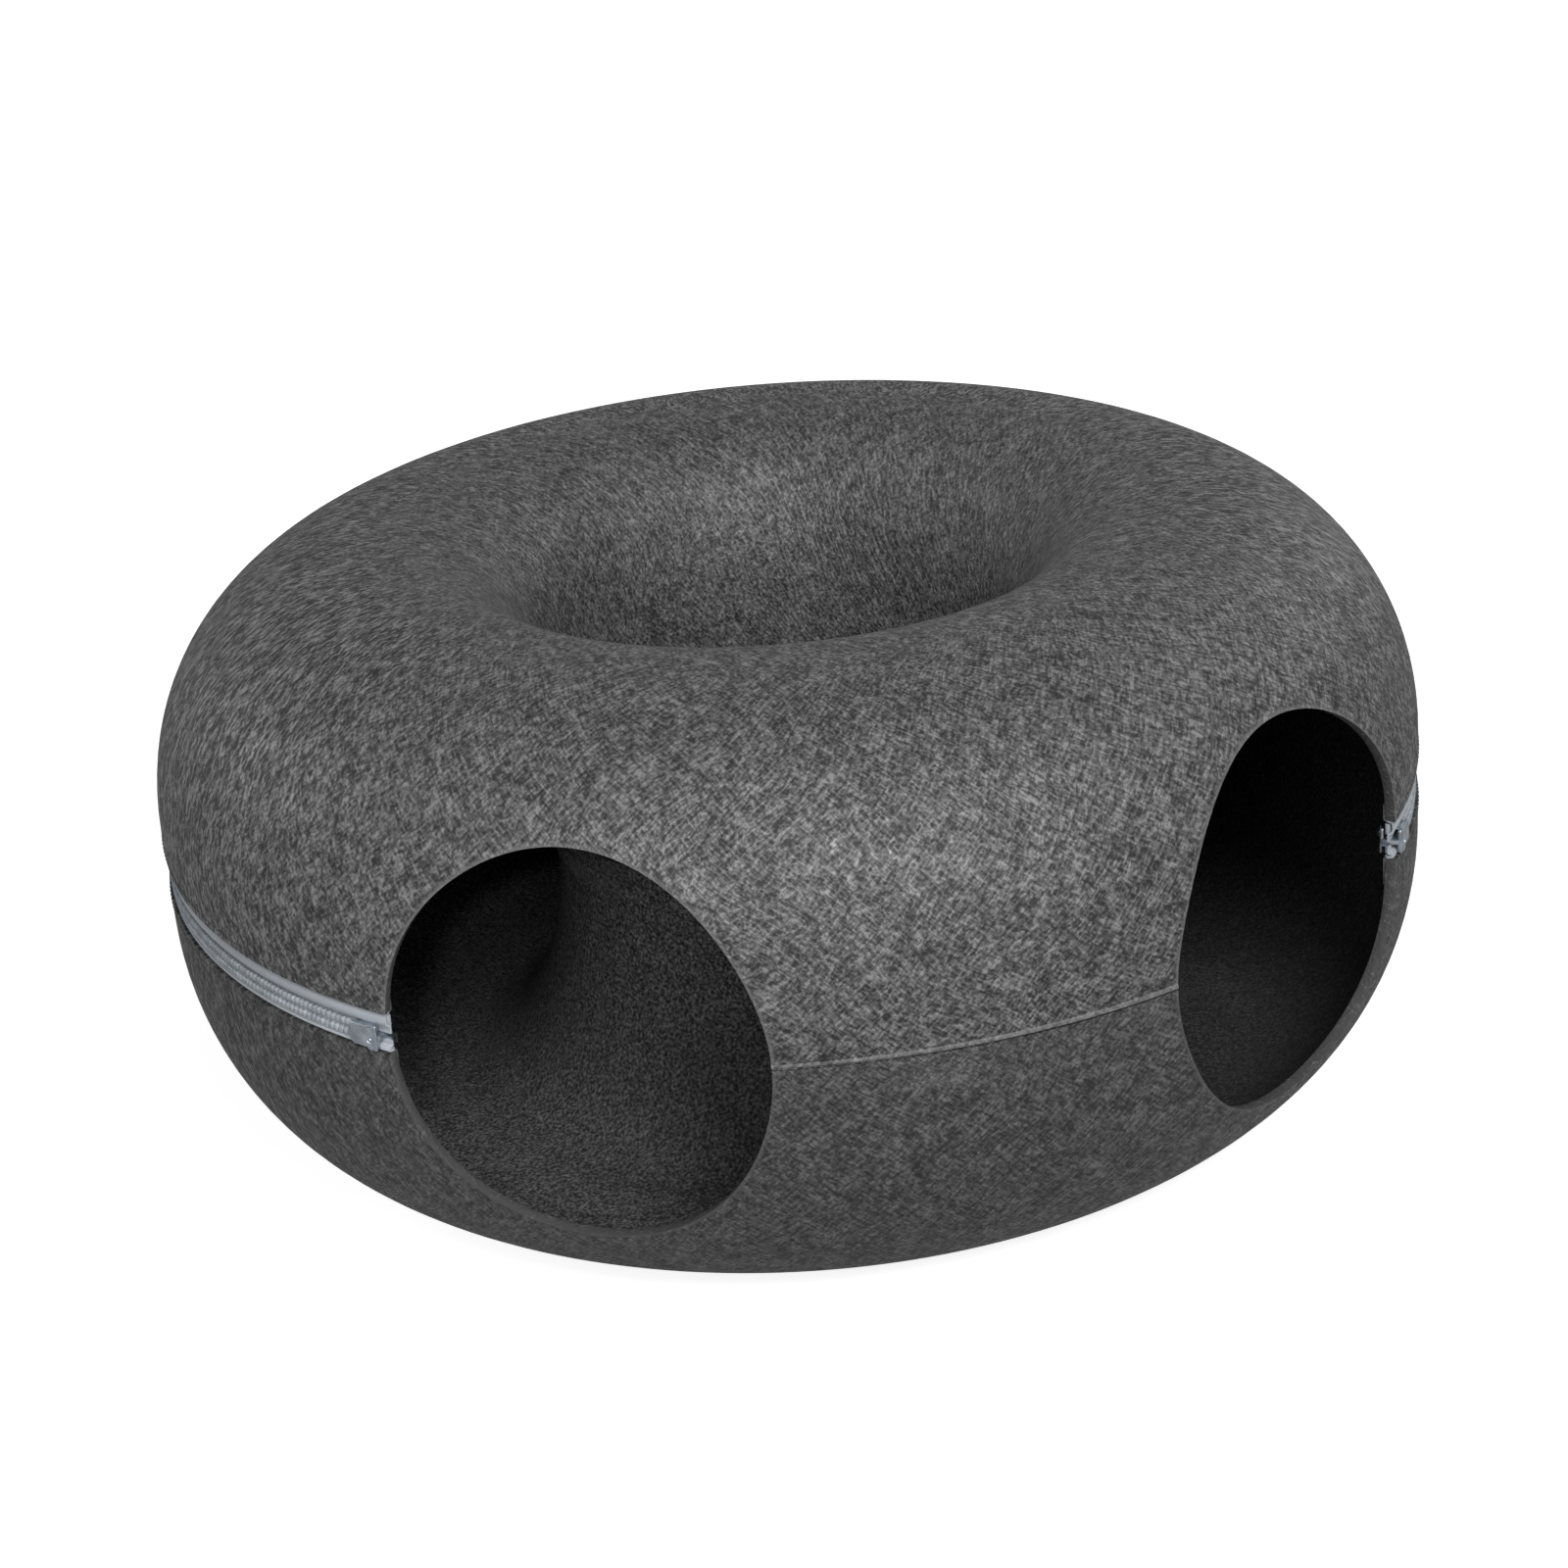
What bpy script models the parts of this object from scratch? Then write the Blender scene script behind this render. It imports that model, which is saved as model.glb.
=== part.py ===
# Felt donut tunnel for cats: two pressed felt half rings joined by an outer and an inner zip.
# Metres, +Z up. The ring stands on z = 0 with its axis on Z, and the sewn front seam faces -Y.
# An azimuth is counted in degrees from the front, positive towards +X.

import math

import bmesh
import bpy
from mathutils import Matrix, Vector

# Felt ring
OUTER_RADIUS = 0.250
HOLE_RADIUS = 0.092
CROWN_RADIUS = 0.158
UPPER_HEIGHT = 0.109
LOWER_HEIGHT = 0.116
BASE_WIDTH = 0.028
FELT = 0.004

# How square each quarter of the section is: 2 is an ellipse, more is squarer
TOP_OUTER_POWER = 2.12
TOP_INNER_POWER = 2.7
BASE_POWER = 2.05

# Two round entrances in the outer wall, one each side of the front
ENTRANCE_AZIMUTH = 33.3
ENTRANCE_WIDTH = 0.141
ENTRANCE_HEIGHT = 0.148

# Zips: a chain of teeth between two tapes that are sewn behind the felt's edges
CHAIN_WIDTH = 0.0071
UPPER_SHOW = 0.00695
LOWER_SHOW = 0.00215
SEW_ALLOWANCE = 0.006
TAPE = 0.0008
TAPE_GAP = 0.0026
TOOTH_PITCH = 0.0036
TOOTH_DEPTH = 0.0022
TOOTH_REACH = 0.0024
TAPE_END_INSET = 0.001

# Sliders and their pull tabs
SLIDER_LENGTH = 0.015
SLIDER_TAPER_SHARE = 0.28
SLIDER_CORNER = 0.0018
PLATE = 0.0012
DIAMOND_LENGTH = 0.006
DIAMOND_POINT = 0.0025
BRIDGE_WIDTH = 0.0024
BRIDGE_WALL = 0.0009
TAB_LENGTH = 0.018
TAB_THICKNESS = 0.0010
TAB_WIDTH = 0.0064
TAB_ARM = 0.0012

# Metal stops clipped on the lower tape's ends
STOP_LENGTH = 0.0022
STOP_WALL = 0.0007
STOP_REACH = 0.0024

# Clearances: between pieces that touch, for pieces that run, and cut overrun
FIT = 0.0003
RUN = 0.0003
LAND_MARGIN = 0.002
OVERRUN = 0.005

# Facets
RING_STEPS = 48
ARC_PARTS = 5
ENTRANCE_SIDES = 44
CORNER_PARTS = 2
TAB_END_PARTS = 6
SMOOTH_ANGLE = 35
MERGE = 0.00001

# Worked out from the sizes above
SEAM_HEIGHT = LOWER_HEIGHT
ZIP_GAP = UPPER_SHOW + CHAIN_WIDTH + LOWER_SHOW
CHAIN_DROP = (UPPER_SHOW - LOWER_SHOW) / 2
CHAIN_HEIGHT = SEAM_HEIGHT - CHAIN_DROP
TAPE_WIDTH = ZIP_GAP / 2 + SEW_ALLOWANCE + CHAIN_DROP - TAPE_GAP / 2
UPPER_LAND = ZIP_GAP / 2 + SEW_ALLOWANCE + LAND_MARGIN
LOWER_LAND = CHAIN_DROP + TAPE_GAP / 2 + TAPE_WIDTH + LAND_MARGIN
FACET = 360 / RING_STEPS
AXIS_HEIGHT = TAB_THICKNESS / 2 * math.sqrt(2) + RUN
BRIDGE_RISE = 2 * AXIS_HEIGHT + BRIDGE_WALL
BRIDGE_HALF = AXIS_HEIGHT + BRIDGE_WALL
WINDOW_END = math.hypot(BRIDGE_HALF, BRIDGE_RISE - AXIS_HEIGHT) + RUN

# Colours, with roughness and metallic value
FELT_LOOK = ((0.045, 0.045, 0.047, 1), 0.95, 0)
TAPE_LOOK = ((0.36, 0.39, 0.43, 1), 0.7, 0)
TEETH_LOOK = ((0.45, 0.48, 0.51, 1), 0.45, 0)
DARK_TAPE_LOOK = ((0.04, 0.04, 0.042, 1), 0.85, 0)
DARK_TEETH_LOOK = ((0.05, 0.05, 0.053, 1), 0.5, 0)
METAL_LOOK = ((0.72, 0.72, 0.73, 1), 0.28, 1)


def start_scene():
    for obj in list(bpy.data.objects):
        bpy.data.objects.remove(obj, do_unlink=True)
    parts = bpy.data.collections.new("donut_cat_tunnel")
    cutters = bpy.data.collections.new("cutters")
    for collection in (parts, cutters):
        bpy.context.scene.collection.children.link(collection)
    return parts, cutters


PARTS, CUTTERS = start_scene()


def material(name, look):
    colour, roughness, metallic = look
    made = bpy.data.materials.new(name)
    made.use_nodes = True
    shader = made.node_tree.nodes["Principled BSDF"]
    shader.inputs["Base Color"].default_value = colour
    shader.inputs["Roughness"].default_value = roughness
    shader.inputs["Metallic"].default_value = metallic
    return made


def add_part(name, mesh, look):
    mesh.name = name
    mesh.materials.clear()
    mesh.materials.append(material(name, look))
    part = bpy.data.objects.new(name, mesh)
    PARTS.objects.link(part)
    return part


def add_cutter(name, mesh):
    cutter = bpy.data.objects.new(name, mesh)
    cutter.hide_render = True
    cutter.display_type = "WIRE"
    CUTTERS.objects.link(cutter)
    return cutter


def mesh_from(shape, name):
    mesh = bpy.data.meshes.new(name)
    shape.to_mesh(mesh)
    shape.free()
    return mesh


def evaluated_mesh(obj):
    bpy.context.view_layer.update()
    graph = bpy.context.evaluated_depsgraph_get()
    return bpy.data.meshes.new_from_object(obj.evaluated_get(graph))


def bake(obj):
    # Turns an object's modifiers into its mesh, shaded smooth but for its corners
    mesh = evaluated_mesh(obj)
    obj.modifiers.clear()
    obj.data = mesh
    mesh.shade_smooth()
    mesh.set_sharp_from_angle(angle=math.radians(SMOOTH_ANGLE))
    return obj


def combine(obj, other, operation):
    modifier = obj.modifiers.new(other.name, "BOOLEAN")
    modifier.operation = operation
    modifier.solver = "EXACT"
    modifier.object = other


def thicken(obj, thickness):
    # Solidify away from the side that the surface faces
    modifier = obj.modifiers.new("Thickness", "SOLIDIFY")
    modifier.thickness = thickness
    modifier.offset = -1
    modifier.use_even_offset = True


def half_ring_arc(centre, reach, land, rise, power):
    # Points of a quarter of the felt's section, from the straight land at the seam to the crown
    points = []
    for part in range(ARC_PARTS + 1):
        turn = math.pi / 2 * part / ARC_PARTS
        across = math.cos(turn) ** (2 / power) if part < ARC_PARTS else 0
        points.append((centre + reach * across, land + rise * math.sin(turn) ** (2 / power)))
    return points


def upper_profile():
    rise = UPPER_HEIGHT - UPPER_LAND
    inner = half_ring_arc(CROWN_RADIUS, HOLE_RADIUS - CROWN_RADIUS, UPPER_LAND, rise, TOP_INNER_POWER)
    outer = half_ring_arc(CROWN_RADIUS, OUTER_RADIUS - CROWN_RADIUS, UPPER_LAND, rise, TOP_OUTER_POWER)
    hole_edge = (HOLE_RADIUS, ZIP_GAP / 2)
    return [hole_edge] + inner + outer[-2::-1] + [(OUTER_RADIUS, FIT / 2)]


def lower_profile():
    rise = LOWER_LAND - LOWER_HEIGHT
    inside = CROWN_RADIUS - BASE_WIDTH / 2
    outside = CROWN_RADIUS + BASE_WIDTH / 2
    inner = half_ring_arc(inside, HOLE_RADIUS - inside, -LOWER_LAND, rise, BASE_POWER)
    outer = half_ring_arc(outside, OUTER_RADIUS - outside, -LOWER_LAND, rise, BASE_POWER)
    hole_edge = (HOLE_RADIUS, -ZIP_GAP / 2)
    return [(OUTER_RADIUS, -FIT / 2)] + outer + inner[::-1] + [hole_edge]


def turned_surface(name, profile):
    mesh = bpy.data.meshes.new(name)
    corners = [(radius, 0, SEAM_HEIGHT + height) for radius, height in profile]
    mesh.from_pydata(corners, [(i, i + 1) for i in range(len(corners) - 1)], [])
    surface = add_part(name, mesh, FELT_LOOK)
    screw = surface.modifiers.new("Turn", "SCREW")
    screw.steps = RING_STEPS
    screw.render_steps = RING_STEPS
    screw.use_merge_vertices = True
    screw.merge_threshold = MERGE
    return surface


def entrance_cutter(name, azimuth):
    # An oval bar through the outer wall that ends in the tunnel, under the crown
    shape = bmesh.new()
    bmesh.ops.create_cone(
        shape, cap_ends=True, segments=ENTRANCE_SIDES, radius1=1, radius2=1, depth=1
    )
    length = OUTER_RADIUS + OVERRUN - CROWN_RADIUS
    bmesh.ops.scale(shape, vec=(ENTRANCE_WIDTH / 2, ENTRANCE_HEIGHT / 2, length), verts=shape.verts)
    lay = Matrix.Rotation(math.pi / 2, 4, "X")
    out = Matrix.Translation((0, -CROWN_RADIUS - length / 2, SEAM_HEIGHT))
    turn = Matrix.Rotation(math.radians(azimuth), 4, "Z")
    bmesh.ops.transform(shape, matrix=turn @ out @ lay, verts=shape.verts)
    return add_cutter(name, mesh_from(shape, name))


def zip_gap_cutter(name):
    # A band round the back, from the middle of one entrance to the middle of the other
    shape = bmesh.new()
    corners = []
    for radius in (OUTER_RADIUS - FELT - OVERRUN, OUTER_RADIUS + OVERRUN):
        for height in (-ZIP_GAP / 2, ZIP_GAP / 2):
            corners.append(shape.verts.new((0, -radius, SEAM_HEIGHT + height)))
    face = shape.faces.new([corners[i] for i in (0, 1, 3, 2)])
    start = Matrix.Rotation(math.radians(ENTRANCE_AZIMUTH), 4, "Z")
    bmesh.ops.transform(shape, matrix=start, verts=shape.verts)
    bmesh.ops.spin(
        shape, geom=[face] + face.edges[:] + face.verts[:], cent=(0, 0, 0), axis=(0, 0, 1),
        angle=math.radians(360 - 2 * ENTRANCE_AZIMUTH), steps=RING_STEPS, use_duplicate=False,
    )
    bmesh.ops.recalc_face_normals(shape, faces=shape.faces)
    return add_cutter(name, mesh_from(shape, name))


def build_felt():
    cutters = [
        entrance_cutter("right_entrance_cutter", ENTRANCE_AZIMUTH),
        entrance_cutter("left_entrance_cutter", -ENTRANCE_AZIMUTH),
        zip_gap_cutter("zip_gap_cutter"),
    ]
    for name, profile in (
        ("lower_felt_shell", lower_profile()),
        ("upper_felt_shell", upper_profile()),
    ):
        shell = turned_surface(name, profile)
        thicken(shell, FELT)
        for cutter in cutters:
            combine(shell, cutter, "DIFFERENCE")
        bake(shell)


def on_ring(radius, azimuth, height):
    # A point on the ring's faceted cylinder: its corners lie at the stated radius
    turn = math.radians(azimuth)
    off_middle = math.radians(azimuth % FACET - FACET / 2)
    reach = radius * math.cos(math.radians(FACET / 2)) / math.cos(off_middle)
    return Vector((reach * math.sin(turn), -reach * math.cos(turn), height))


def facet_edges(first, last):
    # The two ends of a stretch of the ring and each facet's edge between them
    between = range(math.floor(first / FACET) + 1, math.ceil(last / FACET))
    return [first] + [FACET * edge for edge in between] + [last]


def tape(name, radius, side, first, last, low, high, look):
    # A strip that stands on the ring, facing the teeth
    shape = bmesh.new()
    feet = [shape.verts.new(on_ring(radius, azimuth, low)) for azimuth in facet_edges(first, last)]
    edges = [shape.edges.new(pair) for pair in zip(feet, feet[1:])]
    raised = bmesh.ops.extrude_edge_only(shape, edges=edges)["geom"]
    tops = [item for item in raised if isinstance(item, bmesh.types.BMVert)]
    bmesh.ops.translate(shape, verts=tops, vec=(0, 0, high - low))
    face_towards_teeth(shape, side)
    strip = add_part(name, mesh_from(shape, name), look)
    thicken(strip, TAPE)
    return bake(strip)


def face_towards_teeth(shape, side):
    # Outwards on the outer zip, side 1, and towards the hole on the inner one, side -1
    shape.normal_update()
    turned = []
    for face in shape.faces:
        middle = face.calc_center_median()
        outwards = face.normal.x * middle.x + face.normal.y * middle.y
        if outwards * side < 0:
            turned.append(face)
    bmesh.ops.reverse_faces(shape, faces=turned)


def tooth_angle(radius):
    # Azimuth taken by one tooth, so that a whole number of teeth fills each facet
    chord = 2 * radius * math.sin(math.radians(FACET / 2))
    return FACET / max(1, round(chord / TOOTH_PITCH))


def teeth(name, radius, side, first, last, row, look):
    # One row of teeth: a band whose edge zigzags between the teeth of the other row.
    # The row is 1 above the chain's middle and -1 below it.
    half_tooth = tooth_angle(radius) / 2
    per_facet = round(FACET / half_tooth)
    pitch = 2 * radius * math.radians(half_tooth)
    split = FIT * math.hypot(1, 2 * TOOTH_REACH / pitch)
    shape = bmesh.new()
    zigzag = {}
    back = {}
    for step in range(first, last + 1):
        wave = TOOTH_REACH / 2 if step % 2 else -TOOTH_REACH / 2
        height = CHAIN_HEIGHT + wave + row * split / 2
        zigzag[step] = shape.verts.new(on_ring(radius, step * half_tooth, height))
        if step % per_facet == 0 or step in (first, last):
            height = CHAIN_HEIGHT + row * CHAIN_WIDTH / 2
            back[step] = shape.verts.new(on_ring(radius, step * half_tooth, height))
    stations = sorted(back)
    for start, end in zip(stations, stations[1:]):
        edge = [zigzag[step] for step in range(start, end + 1)]
        shape.faces.new(edge + [back[end], back[start]])
    face_towards_teeth(shape, side)
    band = add_part(name, mesh_from(shape, name), look)
    thicken(band, TOOTH_DEPTH)
    return bake(band)


def flat_mesh(name, outlines, thickness, matrix):
    # An outline, with any holes, as a plate: it is drawn in X and Y and centred on z = 0
    curve = bpy.data.curves.new(name, "CURVE")
    curve.dimensions = "2D"
    curve.fill_mode = "BOTH"
    curve.extrude = thickness / 2
    for outline in outlines:
        spline = curve.splines.new("POLY")
        spline.points.add(len(outline) - 1)
        for point, (x, y) in zip(spline.points, outline):
            point.co = (x, y, 0, 1)
        spline.use_cyclic_u = True
    drawn = bpy.data.objects.new(name, curve)
    CUTTERS.objects.link(drawn)
    mesh = evaluated_mesh(drawn)
    bpy.data.objects.remove(drawn)
    shape = bmesh.new()
    shape.from_mesh(mesh)
    bmesh.ops.remove_doubles(shape, verts=shape.verts, dist=MERGE)
    bmesh.ops.transform(shape, matrix=matrix, verts=shape.verts)
    bmesh.ops.recalc_face_normals(shape, faces=shape.faces)
    shape.to_mesh(mesh)
    shape.free()
    return mesh


def rounded(corners, radius):
    # The outline with each convex corner replaced by a short arc
    points = []
    for before, corner, after in zip(corners[-1:] + corners[:-1], corners, corners[1:] + corners[:1]):
        corner = Vector(corner)
        to_before = (Vector(before) - corner).normalized()
        to_after = (Vector(after) - corner).normalized()
        half = to_before.angle(to_after) / 2
        centre = corner + (to_before + to_after).normalized() * radius / math.sin(half)
        start = corner + to_before * radius / math.tan(half) - centre
        sweep = start.angle_signed(corner + to_after * radius / math.tan(half) - centre)
        for part in range(CORNER_PARTS + 1):
            turn = Matrix.Rotation(-sweep * part / CORNER_PARTS, 2)
            points.append(tuple(centre + turn @ start))
    return points


def tapered(start, end, start_half, end_half):
    # Corners of a plate seen from its side: half widths at its two ends
    return [(start, -start_half), (end, -end_half), (end, end_half), (start, start_half)]


def slider_levels(face, side):
    # How far from the felt's tunnel face each part of a slider lies, positive towards the teeth.
    # A flat slider on the inside of a curve needs room for the curve's bow.
    sag = face * (1 - math.cos(math.radians(FACET / 2)))
    bow = sag + (SLIDER_LENGTH / 2) ** 2 / (2 * face)
    teeth_bow = bow if side < 0 else 0
    back_bow = bow if side > 0 else 0
    return {
        "cover": TOOTH_DEPTH + RUN + teeth_bow,
        "flange": -FIT + RUN + teeth_bow,
        "floor": -FIT - TAPE - RUN - back_bow,
    }


def slider_mesh(name, levels, side, wide):
    # Drawn with X along the zip and Z up. The wide end lies towards wide, which is 1 or -1.
    stand = Matrix.Rotation(math.pi / 2, 4, "X")
    half = SLIDER_LENGTH / 2 * wide
    taper = LOWER_SHOW * SLIDER_TAPER_SHARE
    wide_half = CHAIN_WIDTH / 2 + LOWER_SHOW - RUN
    tail_half = wide_half - taper
    channel = CHAIN_WIDTH / 2 + RUN

    def slab(outline, low, high):
        middle = Matrix.Translation((0, -side * (low + high) / 2, 0))
        return flat_mesh(name, [outline], high - low, middle @ stand)

    body = rounded(tapered(half, -half, wide_half, tail_half), SLIDER_CORNER)
    back = levels["floor"] - PLATE
    pieces = [slab(body, levels["cover"], levels["cover"] + PLATE), slab(body, back, levels["floor"])]
    inset = SLIDER_CORNER * wide
    for row in (1, -1):
        inner_wide = row * (channel + taper)
        outer_wide = row * wide_half
        flange = [
            (half - inset, inner_wide), (half - inset, outer_wide),
            (inset - half, row * tail_half), (inset - half, row * channel),
        ]
        pieces.append(slab(flange, levels["flange"], levels["cover"] + PLATE / 2))
    nose = half - inset / 2
    shoulder = nose - (DIAMOND_LENGTH - DIAMOND_POINT) * wide
    tip = nose - DIAMOND_LENGTH * wide
    post = TAPE_GAP / 2 - RUN
    diamond = [(nose, -post), (nose, post), (shoulder, post), (tip, 0), (shoulder, -post)]
    pieces.append(slab(diamond, levels["floor"] - PLATE / 2, levels["cover"] + PLATE / 2))

    foot = -side * (back + PLATE / 2)
    edge = -side * (back - BRIDGE_RISE)
    under = -side * (back - BRIDGE_RISE + BRIDGE_WALL)
    arch = [
        (-BRIDGE_HALF, foot), (-BRIDGE_HALF, edge), (BRIDGE_HALF, edge), (BRIDGE_HALF, foot),
        (AXIS_HEIGHT, foot), (AXIS_HEIGHT, under), (-AXIS_HEIGHT, under), (-AXIS_HEIGHT, foot),
    ]
    pieces.append(flat_mesh(name, [arch], BRIDGE_WIDTH, Matrix.Identity(4)))
    return pieces


def united(name, meshes, look):
    base = add_part(name, meshes[0], look)
    others = [add_cutter(name + "_piece", mesh) for mesh in meshes[1:]]
    for other in others:
        combine(base, other, "UNION")
    bake(base)
    for other in others:
        bpy.data.objects.remove(other)
    return base


def tab_outlines(wide):
    # The tab lies away from the slider's wide end, its bar on the hinge axis at x = 0
    half = TAB_WIDTH / 2
    eye_half = BRIDGE_WIDTH / 2 + RUN
    start = -TAB_THICKNESS / 2
    outline = [(start, -eye_half - TAB_ARM), (WINDOW_END, -half)]
    for part in range(TAB_END_PARTS + 1):
        turn = math.pi * (part / TAB_END_PARTS - 1 / 2)
        outline.append((TAB_LENGTH - half + half * math.cos(turn), half * math.sin(turn)))
    outline += [(WINDOW_END, half), (start, eye_half + TAB_ARM)]
    window = tapered(-start, WINDOW_END, eye_half, eye_half)
    return [[(-wide * x, y) for x, y in points] for points in (outline, window)]


def build_slider(name, face, side, azimuth, wide):
    # An empty on the ring's axis carries the slider round the zip
    carrier = bpy.data.objects.new(name + "_axis", None)
    PARTS.objects.link(carrier)
    carrier.location = (0, 0, CHAIN_HEIGHT)
    carrier.rotation_euler = (0, 0, math.radians(azimuth))
    levels = slider_levels(face, side)
    slider = united(name + "_slider", slider_mesh(name, levels, side, wide), METAL_LOOK)
    slider.parent = carrier
    slider.location = (0, -face, 0)
    stand = Matrix.Rotation(math.pi / 2, 4, "X")
    tab = add_part(
        name + "_pull_tab", flat_mesh(name, tab_outlines(wide), TAB_THICKNESS, stand), METAL_LOOK
    )
    tab.parent = slider
    tab.location = (0, -side * (levels["floor"] - PLATE - AXIS_HEIGHT), 0)


def stop_mesh(name, face, side, azimuth):
    # A clip that is folded over the lower tape's edge and lies square to its facet.
    # Its front leg starts level with the felt's tunnel face, one fit clear of the tape.
    back = -FIT - TAPE - FIT
    slot_top = -TAPE_GAP / 2 + FIT
    top = slot_top + STOP_WALL
    bottom = -TAPE_GAP / 2 - STOP_REACH
    outline = [
        (STOP_WALL, bottom), (STOP_WALL, top), (back - STOP_WALL, top), (back - STOP_WALL, bottom),
        (back, bottom), (back, slot_top), (0, slot_top), (0, bottom),
    ]
    across = Matrix(((0, 0, 1), (-side, 0, 0), (0, 1, 0))).to_4x4()
    facet_turn = math.radians((math.floor(azimuth / FACET) + 1 / 2) * FACET)
    place = Matrix.Translation(on_ring(face, azimuth, CHAIN_HEIGHT)) @ Matrix.Rotation(facet_turn, 4, "Z")
    return flat_mesh(name, [outline], STOP_LENGTH, place @ across)


def build_zip(name, wall, side, first, last, sliders, tape_look, teeth_look):
    # A zip from one azimuth to another. wall is the felt's tunnel face, and sliders gives
    # the ends, 1 for the first and -1 for the last, where a slider is parked.
    def turn(length):
        return math.degrees(length / wall)

    tape_face = wall - side * FIT
    upper_low = CHAIN_HEIGHT + TAPE_GAP / 2
    lower_high = CHAIN_HEIGHT - TAPE_GAP / 2
    for row, low in (("lower", lower_high - TAPE_WIDTH), ("upper", upper_low)):
        tape(f"{name}_{row}_tape", tape_face, side, first, last, low, low + TAPE_WIDTH, tape_look)

    clear = {}
    for end, azimuth, place in ((1, first, "right"), (-1, last, "left")):
        stop = azimuth + end * turn(2 * FIT + STOP_LENGTH / 2)
        stop_name = f"{name}_{place}_end_stop"
        add_part(stop_name, stop_mesh(stop_name, wall, side, stop), METAL_LOOK)
        clear[end] = stop + end * turn(STOP_LENGTH / 2 + 2 * FIT)
        if end in sliders:
            middle = clear[end] + end * turn(SLIDER_LENGTH / 2)
            build_slider(sliders[end], wall, side, middle, -end)
            clear[end] = middle + end * turn(SLIDER_LENGTH / 2 + 2 * FIT)

    crest = wall + side * TOOTH_DEPTH
    half_tooth = tooth_angle(crest) / 2
    first_step = 2 * math.ceil(clear[1] / half_tooth / 2)
    last_step = 2 * math.floor(clear[-1] / half_tooth / 2)
    teeth(name + "_lower_teeth", crest, side, first_step, last_step, -1, teeth_look)
    teeth(name + "_upper_teeth", crest, side, first_step, last_step, 1, teeth_look)


def build_zips():
    entrance_edge = ENTRANCE_AZIMUTH + math.degrees(math.asin(ENTRANCE_WIDTH / 2 / OUTER_RADIUS))
    outer_start = entrance_edge + math.degrees(TAPE_END_INSET / OUTER_RADIUS)
    build_zip(
        "outer_zip", OUTER_RADIUS - FELT, 1, outer_start, 360 - outer_start,
        {1: "outer_zip_right", -1: "outer_zip_left"}, TAPE_LOOK, TEETH_LOOK,
    )
    inner_start = math.degrees(TAPE_END_INSET / HOLE_RADIUS)
    build_zip(
        "inner_zip", HOLE_RADIUS + FELT, -1, inner_start, 360 - inner_start,
        {1: "inner_zip"}, DARK_TAPE_LOOK, DARK_TEETH_LOOK,
    )


build_felt()
build_zips()
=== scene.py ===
# Felt donut tunnel for cats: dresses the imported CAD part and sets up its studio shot.
# An azimuth is counted in degrees from the front (-Y), positive towards +X.
import math

import bmesh
import bpy
from mathutils import Matrix, Vector


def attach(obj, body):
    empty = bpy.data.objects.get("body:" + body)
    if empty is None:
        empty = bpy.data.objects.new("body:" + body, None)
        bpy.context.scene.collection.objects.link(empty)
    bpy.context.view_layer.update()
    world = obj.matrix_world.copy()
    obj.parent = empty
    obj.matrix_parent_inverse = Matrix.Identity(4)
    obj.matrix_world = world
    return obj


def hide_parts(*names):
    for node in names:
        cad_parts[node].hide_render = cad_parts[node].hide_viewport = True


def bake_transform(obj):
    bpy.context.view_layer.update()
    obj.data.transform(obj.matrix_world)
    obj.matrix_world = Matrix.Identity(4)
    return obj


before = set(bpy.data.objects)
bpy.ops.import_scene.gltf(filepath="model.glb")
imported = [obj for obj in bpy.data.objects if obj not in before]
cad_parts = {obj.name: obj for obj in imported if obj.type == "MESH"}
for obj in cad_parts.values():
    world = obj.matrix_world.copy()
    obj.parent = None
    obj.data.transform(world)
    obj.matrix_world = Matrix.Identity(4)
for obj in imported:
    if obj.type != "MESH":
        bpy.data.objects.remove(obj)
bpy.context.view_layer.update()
print("frame loaded")

# the ring's own sizes, in metres, as the CAD part has them
ring = {
    "outerRadius": 0.250,
    "holeRadius": 0.092,
    "crownRadius": 0.158,
    "seamHeight": 0.116,
    "chainHeight": 0.1136,
    "upperRise": 0.109,
    "lowerDrop": 0.116,
    "baseWidth": 0.028,
    "felt": 0.004,
    "zipGap": 0.0162,
    "entranceTurn": 33.3,
    "entranceWidth": 0.141,
    "entranceHeight": 0.148,
}


# working by hand: pick an object, finish its modifiers, put its place in its mesh

sameSpot = 0.000001  # points nearer than this are one
squareOn = 0.9  # how much of a face's normal lies along the way it looks


def arcPoints(centre, radii, start, end, parts):
    # points of an arc or of part of an oval, between two angles in degrees
    turns = [math.radians(start + (end - start) * part / parts) for part in range(parts + 1)]
    return [
        (centre[0] + radii[0] * math.cos(turn), centre[1] + radii[1] * math.sin(turn))
        for turn in turns
    ]


def clearSelection():
    if bpy.context.mode != "OBJECT":
        bpy.ops.object.mode_set(mode="OBJECT")
    bpy.ops.object.select_all(action="DESELECT")


def pick(obj):
    clearSelection()
    obj.select_set(True)
    bpy.context.view_layer.objects.active = obj
    return obj


def edit(obj, kind="VERT"):
    pick(obj)
    bpy.ops.object.mode_set(mode="EDIT")
    bpy.ops.mesh.select_mode(type=kind)
    selectAll()


def closeEdit():
    bpy.ops.object.mode_set(mode="OBJECT")


def selectWhere(obj, test):
    # in edit mode: selects the faces that pass a test of their middle and normal
    bpy.ops.mesh.select_mode(type="FACE")
    selectAll("DESELECT")
    shape = bmesh.from_edit_mesh(obj.data)
    for face in shape.faces:
        face.select = test(face.calc_center_median(), face.normal)
    shape.select_flush_mode()
    bmesh.update_edit_mesh(obj.data)


def applyModifiers(obj):
    pick(obj)
    for modifier in list(obj.modifiers):
        bpy.ops.object.modifier_apply(modifier=modifier.name)


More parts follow.
